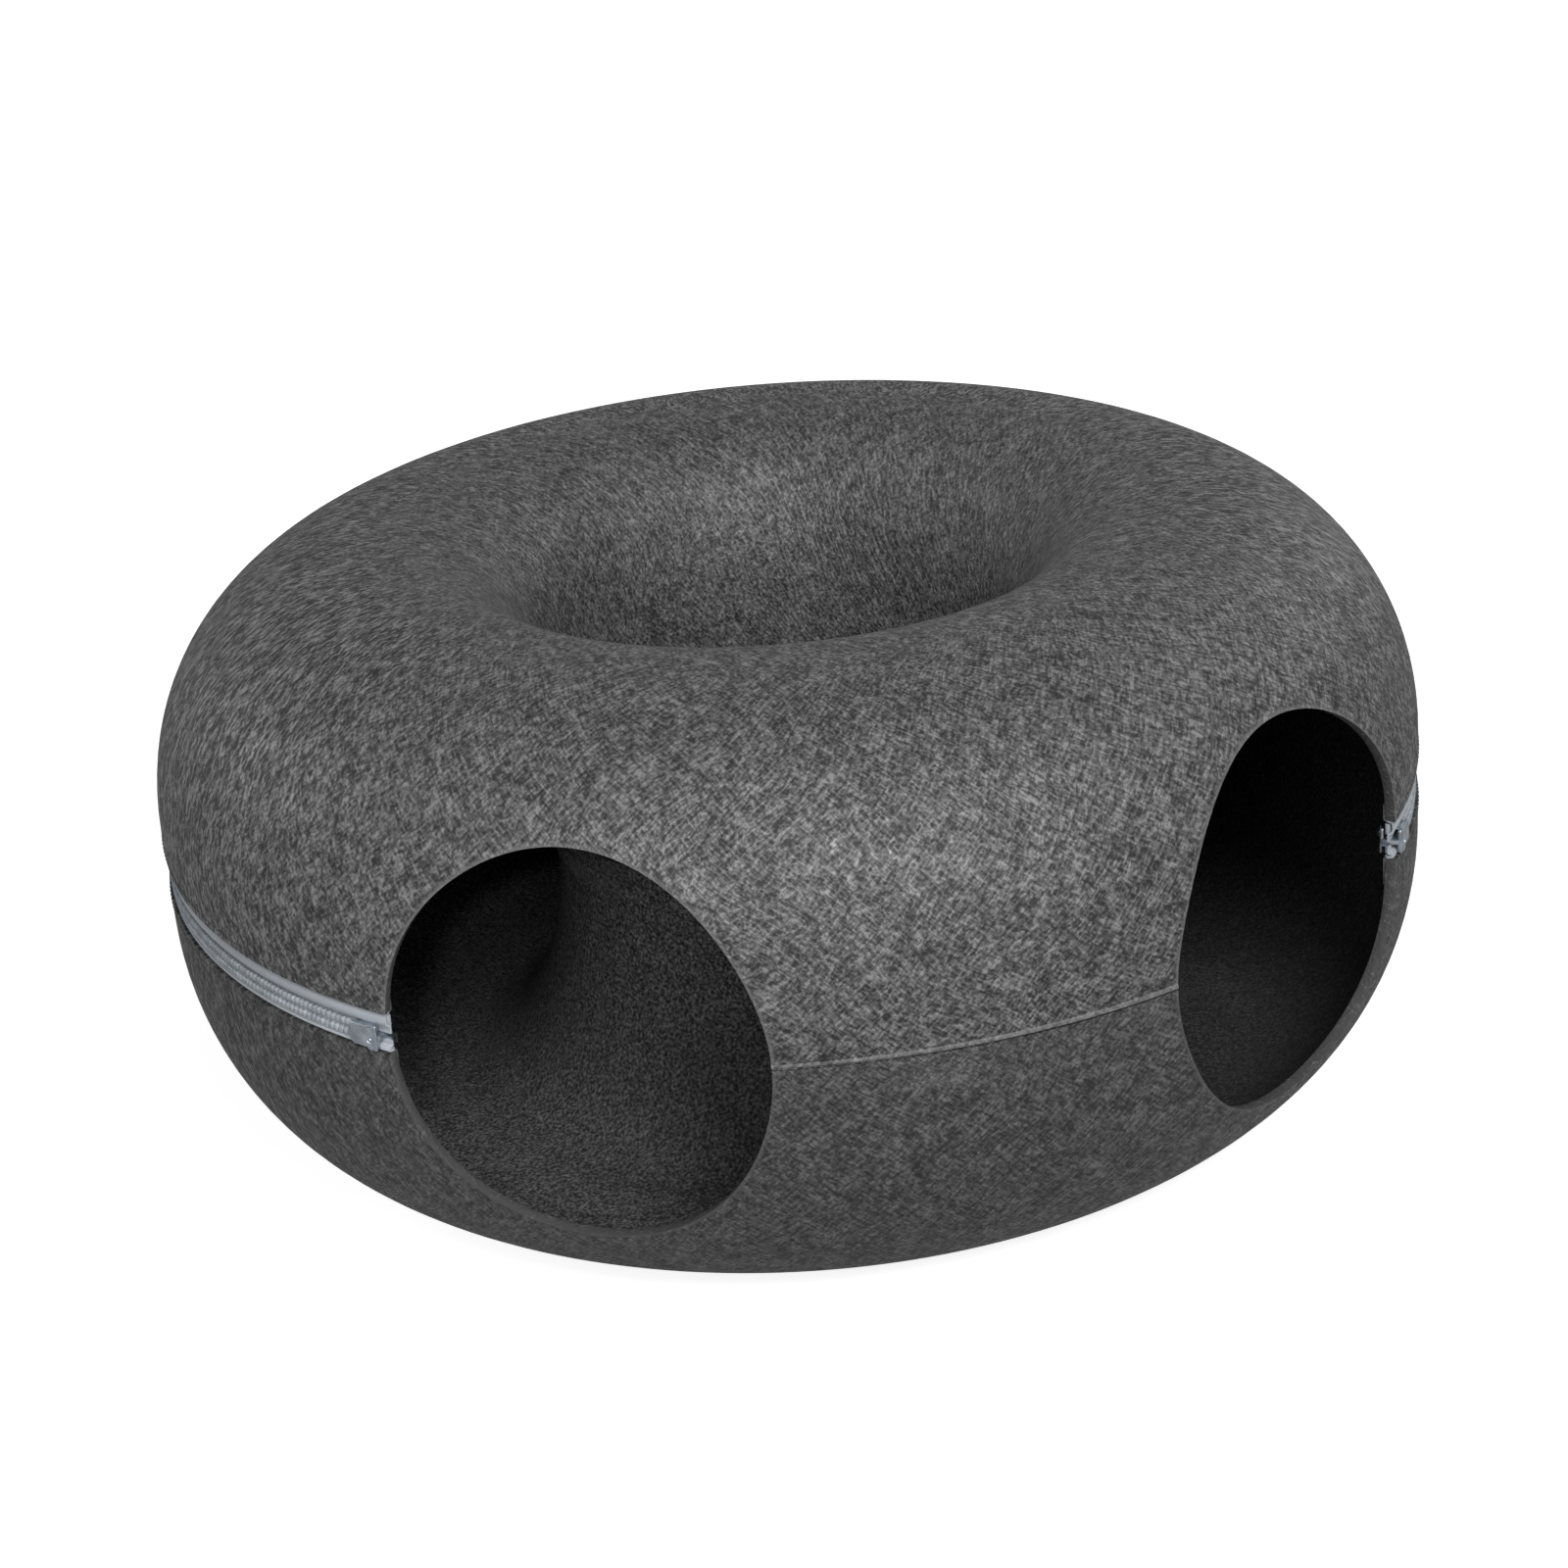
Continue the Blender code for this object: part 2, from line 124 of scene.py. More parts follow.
def settle(obj, smoothAngle=40):
    # place goes into the mesh, shading goes smooth but for real corners
    pick(obj)
    bpy.ops.object.transform_apply(location=True, rotation=True, scale=True)
    if smoothAngle:
        bpy.ops.object.shade_smooth_by_angle(angle=math.radians(smoothAngle))
    return obj


def tidyNormals(obj, merge=0.00001):
    edit(obj)
    bpy.ops.mesh.remove_doubles(threshold=merge)
    selectAll()
    bpy.ops.mesh.normals_make_consistent(inside=False)
    closeEdit()


def join(pieces):
    clearSelection()
    for piece in pieces:
        piece.select_set(True)
    bpy.context.view_layer.objects.active = pieces[0]
    bpy.ops.object.join()
    return bpy.context.object


def drawLine(name, points, closed=False):
    # one vertex, extruded from point to point
    clearSelection()
    bpy.ops.mesh.primitive_plane_add(size=0.01, location=(0, 0, 0))
    line = bpy.context.object
    line.name = name
    bpy.ops.object.mode_set(mode="EDIT")
    selectAll()
    bpy.ops.mesh.merge(type="CENTER")
    bpy.ops.transform.translate(value=points[0])
    corners = points + points[:1] if closed else points
    for before, after in zip(corners, corners[1:]):
        step = Vector(after) - Vector(before)
        extrude(step)
    if closed:
        selectAll()
        bpy.ops.mesh.remove_doubles(threshold=sameSpot)
        selectAll()
        bpy.ops.mesh.fill()
    closeEdit()
    return line


def rotate(degrees, axis, centre=(0, 0, 0)):
    bpy.ops.transform.rotate(
        value=math.radians(degrees), orient_axis=axis, center_override=centre
    )


def turnRound(obj, start, sweep, steps, copies=False, centre=(0, 0, 0)):
    # spins what is drawn at the front round an upright axis, the ring's own unless told
    # otherwise, from azimuth start through sweep
    edit(obj)
    rotate(-start, "Z", centre)
    bpy.ops.mesh.spin(
        steps=steps, dupli=copies, angle=-math.radians(sweep), center=centre, axis=(0, 0, 1)
    )
    closeEdit()


def thicken(obj, thickness, offset=-1):
    solid = obj.modifiers.new("wall", "SOLIDIFY")
    solid.thickness = thickness
    solid.offset = offset
    solid.use_even_offset = True


def cut(obj, cutter):
    less = obj.modifiers.new("cut", "BOOLEAN")
    less.operation = "DIFFERENCE"
    less.solver = "EXACT"
    less.object = cutter


def bevel(obj, width, segments=2, angle=35):
    edge = obj.modifiers.new("bevel", "BEVEL")
    edge.width = width
    edge.segments = segments
    edge.limit_method = "ANGLE"
    edge.angle_limit = math.radians(angle)
    edge.harden_normals = False


def ownName(node, ending=""):
    words = node.split("_")
    return words[0] + "".join(word.capitalize() for word in words[1:]) + ending


def finishPiece(piece, name, body, slot, look, replaced=()):
    piece.name = name
    piece.data.name = name
    piece.data.materials.clear()
    piece.data.materials.append(look)
    if replaced:
        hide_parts(*replaced)
    if body:
        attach(piece, body)
    return piece


def feed(tree, node, inputs):
    # each input gets a socket's value or a plain one
    for label, value in inputs.items():
        if isinstance(value, bpy.types.NodeSocket):
            tree.links.new(value, node.inputs[label])
        else:
            node.inputs[label].default_value = value


def newNode(tree, kind, inputs=None, **settings):
    node = tree.nodes.new("ShaderNode" + kind)
    for name, value in settings.items():
        setattr(node, name, value)
    feed(tree, node, inputs or {})
    return node.outputs


def extrude(step):
    bpy.ops.mesh.extrude_region_move(TRANSFORM_OT_translate={"value": step})


def selectAll(action="SELECT"):
    bpy.ops.mesh.select_all(action=action)


# camera, as the photograph's outline, hole rim, zip line and entrances fix it

shot = {
    "azimuth": -13.8,
    "elevation": 23.67,
    "roll": -4.53,
    "distance": 1.326,
    "lens": 75.285,
    "shiftX": -0.00306,
    "shiftY": -0.00944,
    "sensor": 36,
    "clipEnd": 50,
}


def placeCamera():
    clearSelection()
    bpy.ops.object.camera_add()
    camera = bpy.context.object
    camera.name = "shotCamera"
    turn = math.radians(shot["azimuth"])
    lift = math.radians(shot["elevation"])
    roll = math.radians(shot["roll"])
    flat = math.cos(lift)
    back = Vector((math.sin(turn) * flat, -math.cos(turn) * flat, math.sin(lift)))
    right = Vector((0, 0, 1)).cross(back).normalized()
    up = back.cross(right)
    across = right * math.cos(roll) + up * math.sin(roll)
    upright = up * math.cos(roll) - right * math.sin(roll)
    stand = Matrix((across, upright, back)).transposed().to_4x4()
    centre = Vector((0, 0, ring["seamHeight"]))
    camera.matrix_world = Matrix.Translation(centre + back * shot["distance"]) @ stand
    camera.data.lens = shot["lens"]
    camera.data.sensor_width = shot["sensor"]
    camera.data.shift_x = shot["shiftX"]
    camera.data.shift_y = shot["shiftY"]
    camera.data.clip_end = shot["clipEnd"]
    bpy.context.scene.camera = camera


placeCamera()
print("camera placed")


# floor, world and soft lights

studio = {
    "floorSize": 14,
    "floorColour": (0.55, 0.55, 0.55, 1),
    "floorRoughness": 0.9,
    "floorSpecular": 0.1,
    # how much the floor is whitened near the ring and far from it, and between which radii
    "liftNear": 0.86,
    "liftFar": 1.0,
    "liftFrom": 0.26,
    "liftTo": 0.62,
    "white": (1, 1, 1, 1),
    "worldStrength": 0.13,
    "mirrorStrength": 0.26,
    "lamps": {
        # place, size and power
        "keyLamp": ((0.088, -1.683, 1.530), 0.8, 34),
        "lowLamp": ((0.108, -2.064, 0.868), 0.8, 2),
        "fillLamp": ((-0.805, -1.727, 1.216), 0.8, 7),
        "leftLamp": ((-1.790, 1.034, 0.868), 0.8, 7),
        "rightLamp": ((1.790, 1.034, 0.868), 0.8, 4.5),
    },
    "insideLamp": {
        "place": (-0.433, -1.728, 0.910),
        "target": (-0.165, -0.186, 0.112),
        "power": 55,
        "spread": 4.2,
        "blend": 0.9,
        "softness": 0.06,
    },
}


def softLamp(name, place, size, power):
    clearSelection()
    bpy.ops.object.light_add(type="AREA", location=place)
    lamp = bpy.context.object
    lamp.name = name
    lamp.data.shape = "DISK"
    lamp.data.size = size
    lamp.data.energy = power
    aim = Vector((0, 0, ring["seamHeight"])) - Vector(place)
    lamp.rotation_euler = aim.to_track_quat("-Z", "Y").to_euler()


def insideLamp():
    # a narrow soft beam through the left entrance, to light the tunnel beyond it
    beam = studio["insideLamp"]
    clearSelection()
    bpy.ops.object.light_add(type="SPOT", location=beam["place"])
    lamp = bpy.context.object
    lamp.name = "insideLamp"
    lamp.data.energy = beam["power"]
    lamp.data.spot_size = math.radians(beam["spread"])
    lamp.data.spot_blend = beam["blend"]
    lamp.data.shadow_soft_size = beam["softness"]
    aim = Vector(beam["target"]) - Vector(beam["place"])
    lamp.rotation_euler = aim.to_track_quat("-Z", "Y").to_euler()


def plainFloor():
    clearSelection()
    bpy.ops.mesh.primitive_plane_add(size=studio["floorSize"], location=(0, 0, 0))
    floor = bpy.context.object
    floor.name = "floor"
    look = bpy.data.materials.new("paleFloor")
    look.use_nodes = True
    tree = look.node_tree
    # the floor is whitened for the camera, less near the ring, so that the shadow stays
    seen = newNode(tree, "LightPath")["Is Camera Ray"]
    place = newNode(tree, "TexCoord")["Object"]
    spread = newNode(tree, "MapRange", {
        "Value": newNode(tree, "VectorMath", {0: place}, operation="LENGTH")["Value"],
        "From Min": studio["liftFrom"], "From Max": studio["liftTo"],
        "To Min": studio["liftNear"], "To Max": studio["liftFar"],
    })["Result"]
    feed(tree, tree.nodes["Principled BSDF"], {
        "Base Color": studio["floorColour"],
        "Roughness": studio["floorRoughness"],
        "Specular IOR Level": studio["floorSpecular"],
        "Emission Color": studio["white"],
        "Emission Strength": newNode(tree, "Math", {0: seen, 1: spread}, operation="MULTIPLY")[0],
    })
    floor.data.materials.append(look)


def paleWorld():
    world = bpy.data.worlds.new("paleWorld")
    bpy.context.scene.world = world
    world.use_nodes = True
    tree = world.node_tree
    plain = tree.nodes["Background"]
    path = newNode(tree, "LightPath")
    strength = newNode(tree, "Math", {
        0: path["Is Glossy Ray"], 1: studio["mirrorStrength"], 2: studio["worldStrength"],
    }, operation="MULTIPLY_ADD")[0]
    feed(tree, plain, {"Color": studio["white"], "Strength": strength})
    shown = newNode(tree, "Background", {"Color": studio["white"]})[0]
    mix = newNode(tree, "MixShader", {0: path["Is Camera Ray"], 1: plain.outputs[0], 2: shown})
    feed(tree, tree.nodes["World Output"], {"Surface": mix[0]})


plainFloor()
paleWorld()
for lampName, (place, size, power) in studio["lamps"].items():
    softLamp(lampName, place, size, power)
insideLamp()
bpy.context.scene.view_settings.view_transform = "Standard"
print("studio lit")


# node groups, each an effect that several materials share

def startGroup(name, inputs, outputs):
    group = bpy.data.node_groups.new(name, "ShaderNodeTree")
    for label, value in inputs.items():
        socket = group.interface.new_socket(label, in_out="INPUT", socket_type="NodeSocketFloat")
        socket.default_value = value
    for label in outputs:
        group.interface.new_socket(label, in_out="OUTPUT", socket_type="NodeSocketFloat")
    given = group.nodes.new("NodeGroupInput").outputs
    return group, given, group.nodes.new("NodeGroupOutput")


def useGroup(tree, group, **values):
    node = tree.nodes.new("ShaderNodeGroup")
    node.node_tree = group
    feed(tree, node, values)
    return node.outputs


def maths(tree, operation, first, second=0.5, clamp=False):
    inputs = {0: first, 1: second}
    return newNode(tree, "Math", inputs, operation=operation, use_clamp=clamp)[0]


def plus(tree, first, second, clamp=False):
    return maths(tree, "ADD", first, second, clamp)


def minus(tree, first, second, clamp=False):
    return maths(tree, "SUBTRACT", first, second, clamp)


def times(tree, first, second):
    return maths(tree, "MULTIPLY", first, second)


def scaled(tree, value, factor, least):
    return plus(tree, times(tree, value, factor), least)


def centred(tree, noise, amount):
    # a noise about its middle, as strong as the amount
    return times(tree, minus(tree, noise, 0.5), amount)


def rampUp(tree, value, low, high):
    # 0 at low, 1 at high
    return maths(tree, "DIVIDE", minus(tree, value, low), high - low, clamp=True)


def reachOf(tree, first, second):
    # the length of two sides of a right angle
    return maths(tree, "SQRT", plus(tree, times(tree, first, first), times(tree, second, second)))


def objectPlace(tree):
    return newNode(tree, "TexCoord")["Object"]


def axes(tree, vector):
    return newNode(tree, "SeparateXYZ", {0: vector})


def softNoise(tree, vector, scale, detail=2, output="Fac"):
    return newNode(tree, "TexNoise", {"Vector": vector, "Scale": scale, "Detail": detail})[output]


# how the fibres lie in the felt. A streak is told by its lean in degrees, its length and width
# in metres and a seed; a noise by its scale and detail
fibres = {
    "holeCircle": 0.125,
    "outsideMore": 0.085,
    "border": (160, 2),
    "borderRagged": 0.06,
    "sway": 0.022,
    "swayNoise": (13, 1),
    "overScale": 0.1,
    "crownOver": 0.157,
    "leanCircle": 0.2,
    "seedSteps": (1, 1.7, 2.3),
    "distortion": 0.3,
    "frontEnd": -0.15,
    "sideStart": -0.05,
    "crossedMore": 0.3,
    "leftStreak": (38, 0.0036, 0.00145, 0.0),
    "leftShare": 0.55,
    "rightStreak": (-42, 0.0034, 0.00145, 5.3),
    "rightShare": 0.5,
    "rightOutside": 0.6,
    "rightInHole": 0.4,
    "straightStreak": (-6, 0.0048, 0.0016, 9.1),
    "straightShare": 1.7,
    "cloud": (120, 3),
    "cloudShare": 0.4,
    "grain": (820, 1),
    "grainShare": 0.8,
    "hairStreaks": ((-26, 0.015, 0.0034, 3.1), (24, 0.015, 0.0034, 7.7)),
    "hairWidth": 0.035,
    "hairPatch": (260, 2),
    "hairPatchFrom": 0.45,
    "hairPatchTo": 0.6,
    "hairShare": 0.24,
    "gain": 1.45,
    "middle": 0.48,
    "power": 1.7,
    "fluffOut": 0.072,
    "fluffNoise": (500, 2),
    "fluffRagged": 0.0022,
    "fluffEnd": 0.0017,
    "fluffFull": 0.0006,
    "fluffFrom": 0.17,
}


def sheetPlace(tree):
    # unrolls the ring's section: the way round keeps one circle outside the crown and one in the
    # hole, so the fibres stay one size, and the way over the felt becomes the height
    place = objectPlace(tree)
    x, y, z = axes(tree, place)
    reach = reachOf(tree, x, y)
    out = minus(tree, reach, ring["crownRadius"])
    over = maths(tree, "ARCTAN2", minus(tree, z, ring["seamHeight"]), out)
    ragged = centred(tree, softNoise(tree, place, *fibres["border"]), fibres["borderRagged"])
    outside = maths(tree, "GREATER_THAN", plus(tree, out, ragged), 0)
    circle = scaled(tree, outside, fibres["outsideMore"], fibres["holeCircle"])
    unrolled = newNode(tree, "CombineXYZ", {
        0: times(tree, maths(tree, "DIVIDE", x, reach), circle),
        1: times(tree, maths(tree, "DIVIDE", y, reach), circle),
        2: times(tree, over, fibres["overScale"]),
    })[0]
    sway = softNoise(tree, place, *fibres["swayNoise"], "Color")
    inputs = {0: sway, 1: (fibres["sway"], fibres["sway"], 0), 2: unrolled}
    return newNode(tree, "VectorMath", inputs, operation="MULTIPLY_ADD")[0], outside


def streakNoise(tree, sheet, lean, along, across, seed):
    # noise drawn out along a way that leans as it climbs. Both walls lean alike, so it folds
    # at the crown
    below = maths(tree, "ABSOLUTE", minus(tree, axes(tree, sheet)[2], fibres["crownOver"]))
    twist = times(tree, below, math.tan(math.radians(lean)) / fibres["leanCircle"])
    leaning = newNode(
        tree, "VectorRotate", {"Vector": sheet, "Angle": twist}, rotation_type="Z_AXIS"
    )[0]
    drawn = newNode(tree, "Mapping", {
        "Vector": leaning,
        "Location": [seed * step for step in fibres["seedSteps"]],
        "Scale": (1 / across, 1 / across, 1 / along),
    })[0]
    inputs = {"Vector": drawn, "Scale": 1, "Detail": 1, "Distortion": fibres["distortion"]}
    return newNode(tree, "TexNoise", inputs)["Fac"]


def hairLines(tree, noise, width):
    # thin lines where a noise passes its middle
    off = maths(tree, "ABSOLUTE", minus(tree, noise, 0.5))
    return minus(tree, 1, maths(tree, "DIVIDE", off, width), clamp=True)


def rimFluffAndHighlight(tree, place):
    # ragged pale band round the two entrances: cut felt that has fluffed up, and a painted
    # highlight where the cut edge catches the light
    x, y, z = axes(tree, place)
    turn = math.radians(ring["entranceTurn"])
    side = maths(tree, "ABSOLUTE", x)
    across = plus(tree, times(tree, side, math.cos(turn)), times(tree, y, math.sin(turn)))
    out = minus(tree, times(tree, side, math.sin(turn)), times(tree, y, math.cos(turn)))
    up = minus(tree, z, ring["seamHeight"])
    wide = maths(tree, "DIVIDE", across, ring["entranceWidth"] / 2)
    tall = maths(tree, "DIVIDE", up, ring["entranceHeight"] / 2)
    beyond = times(tree, minus(tree, reachOf(tree, wide, tall), 1.0), fibres["fluffOut"])
    ragged = centred(tree, softNoise(tree, place, *fibres["fluffNoise"]), fibres["fluffRagged"])
    band = rampUp(tree, plus(tree, beyond, ragged), fibres["fluffEnd"], fibres["fluffFull"])
    return times(tree, band, maths(tree, "GREATER_THAN", out, fibres["fluffFrom"]))


def feltGroup():
    # Fibre: how pale the felt is, dark gaps to pale hairs. Matt and Height follow it
    strengths = {"Contrast": 1.0, "Streaks": 1.0, "Grain": 1.0}
    group, given, result = startGroup("pressedFelt", strengths, ["Fibre", "Matt", "Edge", "Height"])
    sheet, outside = sheetPlace(group)
    place = objectPlace(group)
    # crossed hairs at the front and in the hole, straighter ones over the sides and the back
    backward = rampUp(group, axes(group, sheet)[1], fibres["frontEnd"], fibres["sideStart"])
    straight = times(group, backward, outside)
    crossed = minus(group, 1, straight)
    rightWall = scaled(group, outside, fibres["rightOutside"], fibres["rightInHole"])
    weights = {
        "leftStreak": scaled(group, crossed, fibres["crossedMore"], fibres["leftShare"]),
        "rightStreak": times(
            group, scaled(group, crossed, fibres["crossedMore"], fibres["rightShare"]), rightWall
        ),
        "straightStreak": times(group, straight, fibres["straightShare"]),
    }
    streaks = 0.0
    for name, weight in weights.items():
        noise = streakNoise(group, sheet, *fibres[name])
        streaks = plus(group, centred(group, noise, weight), streaks)
    cloud = centred(group, softNoise(group, place, *fibres["cloud"]), fibres["cloudShare"])
    streaks = plus(group, cloud, streaks)
    grain = centred(group, softNoise(group, place, *fibres["grain"]), fibres["grainShare"])
    total = plus(
        group, times(group, streaks, given["Streaks"]), times(group, grain, given["Grain"])
    )
    # long thin hairs, in patches
    leans = [streakNoise(group, sheet, *streak) for streak in fibres["hairStreaks"]]
    lines = [hairLines(group, lean, fibres["hairWidth"]) for lean in leans]
    patch = softNoise(group, place, *fibres["hairPatch"])
    patch = rampUp(group, patch, fibres["hairPatchFrom"], fibres["hairPatchTo"])
    hairs = times(group, maths(group, "MAXIMUM", *lines), patch)
    hairs = times(group, hairs, times(group, given["Streaks"], fibres["hairShare"]))
    strength = times(group, given["Contrast"], fibres["gain"])
    even = plus(group, times(group, total, strength), fibres["middle"])
    spread = plus(group, even, hairs, clamp=True)
    feed(group, result, {
        "Fibre": maths(group, "POWER", spread, fibres["power"]),
        "Matt": minus(group, 1, spread),
        "Edge": rimFluffAndHighlight(group, place),
        "Height": spread,
    })
    return group


feltNodes = feltGroup()

feltLook = {
    "deep": (0.0065, 0.0065, 0.0068),
    "fibre": (0.222, 0.222, 0.221),
    "edgeShare": 0.5,
    "roughness": 0.42,
    "matt": 0.24,
    "specular": 0.58,
    "bump": 0.5,
    "bumpDepth": 0.0008,
}


def startLook(name):
    look = bpy.data.materials.new(name)
    look.use_nodes = True
    return look, look.node_tree, look.node_tree.nodes["Principled BSDF"]


def mixColour(tree, share, first, second):
    return newNode(tree, "Mix", {0: share, 6: first, 7: second}, data_type="RGBA")[2]


def bumpFrom(tree, height, strength, depth):
    return newNode(tree, "Bump", {"Height": height, "Strength": strength, "Distance": depth})[0]


def feltMaterial(name, lighter=1.0, contrast=1.0, roughness=feltLook["roughness"],
                 specular=feltLook["specular"], shade=None, streaks=1.0, grain=1.0):
    look, tree, shader = startLook(name)
    felt = useGroup(tree, feltNodes, Contrast=contrast, Streaks=streaks, Grain=grain)
    deep, fibre = (
        tuple(channel * lighter for channel in feltLook[tone]) + (1,)
        for tone in ("deep", "fibre")
    )
    # the pale band round the entrances, fluffed felt and a painted highlight, lifts the share
    share = maths(tree, "MAXIMUM", felt["Fibre"], times(tree, felt["Edge"], feltLook["edgeShare"]))
    # painted light or shade, where a piece is given one
    if shade:
        share = times(tree, share, shade(tree))
    matt = times(tree, felt["Matt"], feltLook["matt"])
    bump = feltLook["bump"] * contrast
    feed(tree, shader, {
        "Base Color": mixColour(tree, share, deep, fibre),
        "Roughness": plus(tree, matt, roughness, clamp=True),
        "Specular IOR Level": specular,
        "Normal": bumpFrom(tree, felt["Height"], bump, feltLook["bumpDepth"]),
    })
    return look


# where painted light or shade changes a look over a piece: from and to in metres, the rise in its
# share and the least
shadeRamps = {
    "tunnelLeft": (0.08, -0.08, 0.62, 0.38),
    "tunnelHigh": (0.03, 0.10, 0.55, 0.45),
    "lipHigh": (ring["seamHeight"] + 0.0007, ring["seamHeight"] + 0.0010, 0.95, 0.05),
    "upperLot": (ring["seamHeight"] - 0.0004, ring["seamHeight"] + 0.0004, 0.46, 0.54),
    "outerTape": (0.2459, 0.2468, 0.86, 0.14),
    "holeTape": (0.0955, 0.0945, 1.0, 0.0),
}


def shadeRamp(tree, value, name):
    low, high, rise, least = shadeRamps[name]
    return scaled(tree, rampUp(tree, value, low, high), rise, least)


def tunnelPaintedLightAndShade(tree):
    # painted light and shade: the tunnel side is painted paler at the left than at the right, as
    # light falls in through the left entrance, and darker towards its floor, where shade falls
    place = axes(tree, objectPlace(tree))
    left = shadeRamp(tree, place[0], "tunnelLeft")
    return times(tree, left, shadeRamp(tree, place[2], "tunnelHigh"))


def lipShade(tree):
    # the lip's lower part lies in its own shade
    return shadeRamp(tree, axes(tree, objectPlace(tree))[2], "lipHigh")


def lowerFeltPaintedShade(tree):
    # painted shade: the lower felt, which curves away under the ring, is painted darker than the
    # upper
    return shadeRamp(tree, axes(tree, objectPlace(tree))[2], "upperLot")


# painted shade darkens the felt below the seam
felt = feltMaterial("charcoalFelt", shade=lowerFeltPaintedShade)
cutFelt = feltMaterial("cutFeltEdge", lighter=0.6, contrast=0.9, roughness=0.6, specular=0.3)
# painted highlight: the lip's felt is paler, where its rounded top catches the light; lipShade
# paints shade on its lower part
lipPaintedHighlightFelt = feltMaterial(
    "frontLipFelt", lighter=1.9, contrast=0.3, roughness=0.5, specular=0.3, shade=lipShade
)
# painted light: the tunnel side is a paler copy of the felt, standing in for the light inside the
# tunnel
tunnelPaintedLightFelt = feltMaterial(
    "tunnelSideFelt", lighter=2.1, contrast=0.75, roughness=0.6, specular=0.25,
    shade=tunnelPaintedLightAndShade, streaks=0.3, grain=2.0,
)

weave = {
    "ribs": 2400.0,
    "ribClimb": 0.0011,
    "rowPitch": 0.00052,
    "ribShare": 0.3,
    "rowShare": 0.2,
    "middle": 0.5,
    "worn": (130, 3),
    "clothShare": 0.6,
    "wornShare": 0.4,
}


def weaveGroup():
    # fine twill of a zip tape: ribs that climb round the ring, crossed by rows
    group, given, result = startGroup("wovenTape", {"Ribs": weave["ribs"]}, ["Shade", "Height"])
    place = objectPlace(group)
    x, y, z = axes(group, place)
    turn = times(group, maths(group, "ARCTAN2", x, y), given["Ribs"])
    climb = times(group, z, 2 * math.pi / weave["ribClimb"])
    twill = times(group, maths(group, "SINE", plus(group, turn, climb)), weave["ribShare"])
    rows = maths(group, "SINE", times(group, z, 2 * math.pi / weave["rowPitch"]))
    cloth = plus(group, twill, times(group, rows, weave["rowShare"]))
    cloth = plus(group, cloth, weave["middle"])
    worn = times(group, softNoise(group, place, *weave["worn"]), weave["wornShare"])
    shade = plus(group, times(group, cloth, weave["clothShare"]), worn)
    feed(group, result, {"Shade": shade, "Height": cloth})
    return group


weaveNodes = weaveGroup()

zipLook = {
    "tape": ((0.29, 0.32, 0.35, 1), (0.52, 0.56, 0.61, 1)),
    "fold": ((0.20, 0.22, 0.24, 1), (0.42, 0.455, 0.49, 1)),
    "darkTape": ((0.020, 0.020, 0.021, 1), (0.055, 0.055, 0.057, 1)),
    "nylon": ((0.23, 0.255, 0.28, 1), (0.42, 0.455, 0.49, 1)),
    "darkNylon": ((0.025, 0.025, 0.026, 1), (0.060, 0.060, 0.062, 1)),
    "metal": ((0.36, 0.40, 0.45, 1), (0.60, 0.655, 0.715, 1)),
    "thread": ((0.030, 0.030, 0.031, 1), (0.085, 0.085, 0.086, 1)),
    "tapeRoughness": 0.68,
    "tapeSpecular": 0.4,
    "tapeSheen": 0.15,
    "tapeBump": 0.5,
    "tapeBumpDepth": 0.00012,
    # tones of the painted shade on the outer tape and the painted light on the hole tape, behind
    # the felt
    "outerMatted": 0.06,
    "holeMatted": 0.48,
    "matted": {"Contrast": 0.75, "Streaks": 0.3, "Grain": 2.0},
    "speckLow": 0.3,
    "speckHigh": 0.7,
    "roughSwing": 0.25,
    "roughDrop": 0.12,
    "speckDepth": 0.00008,
}


def zipReach(tree):
    # how far from the ring's axis
    inputs = {0: objectPlace(tree), 1: (1, 1, 0)}
    flat = newNode(tree, "VectorMath", inputs, operation="MULTIPLY")[0]
    return newNode(tree, "VectorMath", {0: flat}, operation="LENGTH")["Value"]


def tapeMaterial(name, shades, ramp="", matted=0.0):
    look, tree, shader = startLook(name)
    cloth = useGroup(tree, weaveNodes)
    colour = mixColour(tree, cloth["Shade"], *shades)
    if ramp:
        # painted shade and light: behind the felt the tape is painted in the felt's fibres, dark on
        # the outer zip, where the tunnel's shade falls, and as pale as the tunnel side's painted
        # light on the hole zip
        flangePaintGrain = useGroup(tree, feltNodes, **zipLook["matted"])
        share = shadeRamp(tree, zipReach(tree), ramp)
        colour = mixColour(tree, share, times(tree, flangePaintGrain["Fibre"], matted), colour)
    feed(tree, shader, {
        "Base Color": colour,
        "Roughness": zipLook["tapeRoughness"],
        "Specular IOR Level": zipLook["tapeSpecular"],
        "Sheen Weight": zipLook["tapeSheen"],
        "Normal": bumpFrom(tree, cloth["Height"], zipLook["tapeBump"], zipLook["tapeBumpDepth"]),
    })
    return look


def speckGroup():
    # cloudy shade and fine grain, for moulded and cast surfaces and for thread
    sizes = {"Cloud": 300.0, "Grain": 2500.0}
    group, given, result = startGroup("cloudyGrain", sizes, ["Shade", "Grain"])
    place = objectPlace(group)
    feed(group, result, {
        "Shade": softNoise(group, place, given["Cloud"], 3),
        "Grain": softNoise(group, place, given["Grain"], 2),
    })
    return group


speckNodes = speckGroup()


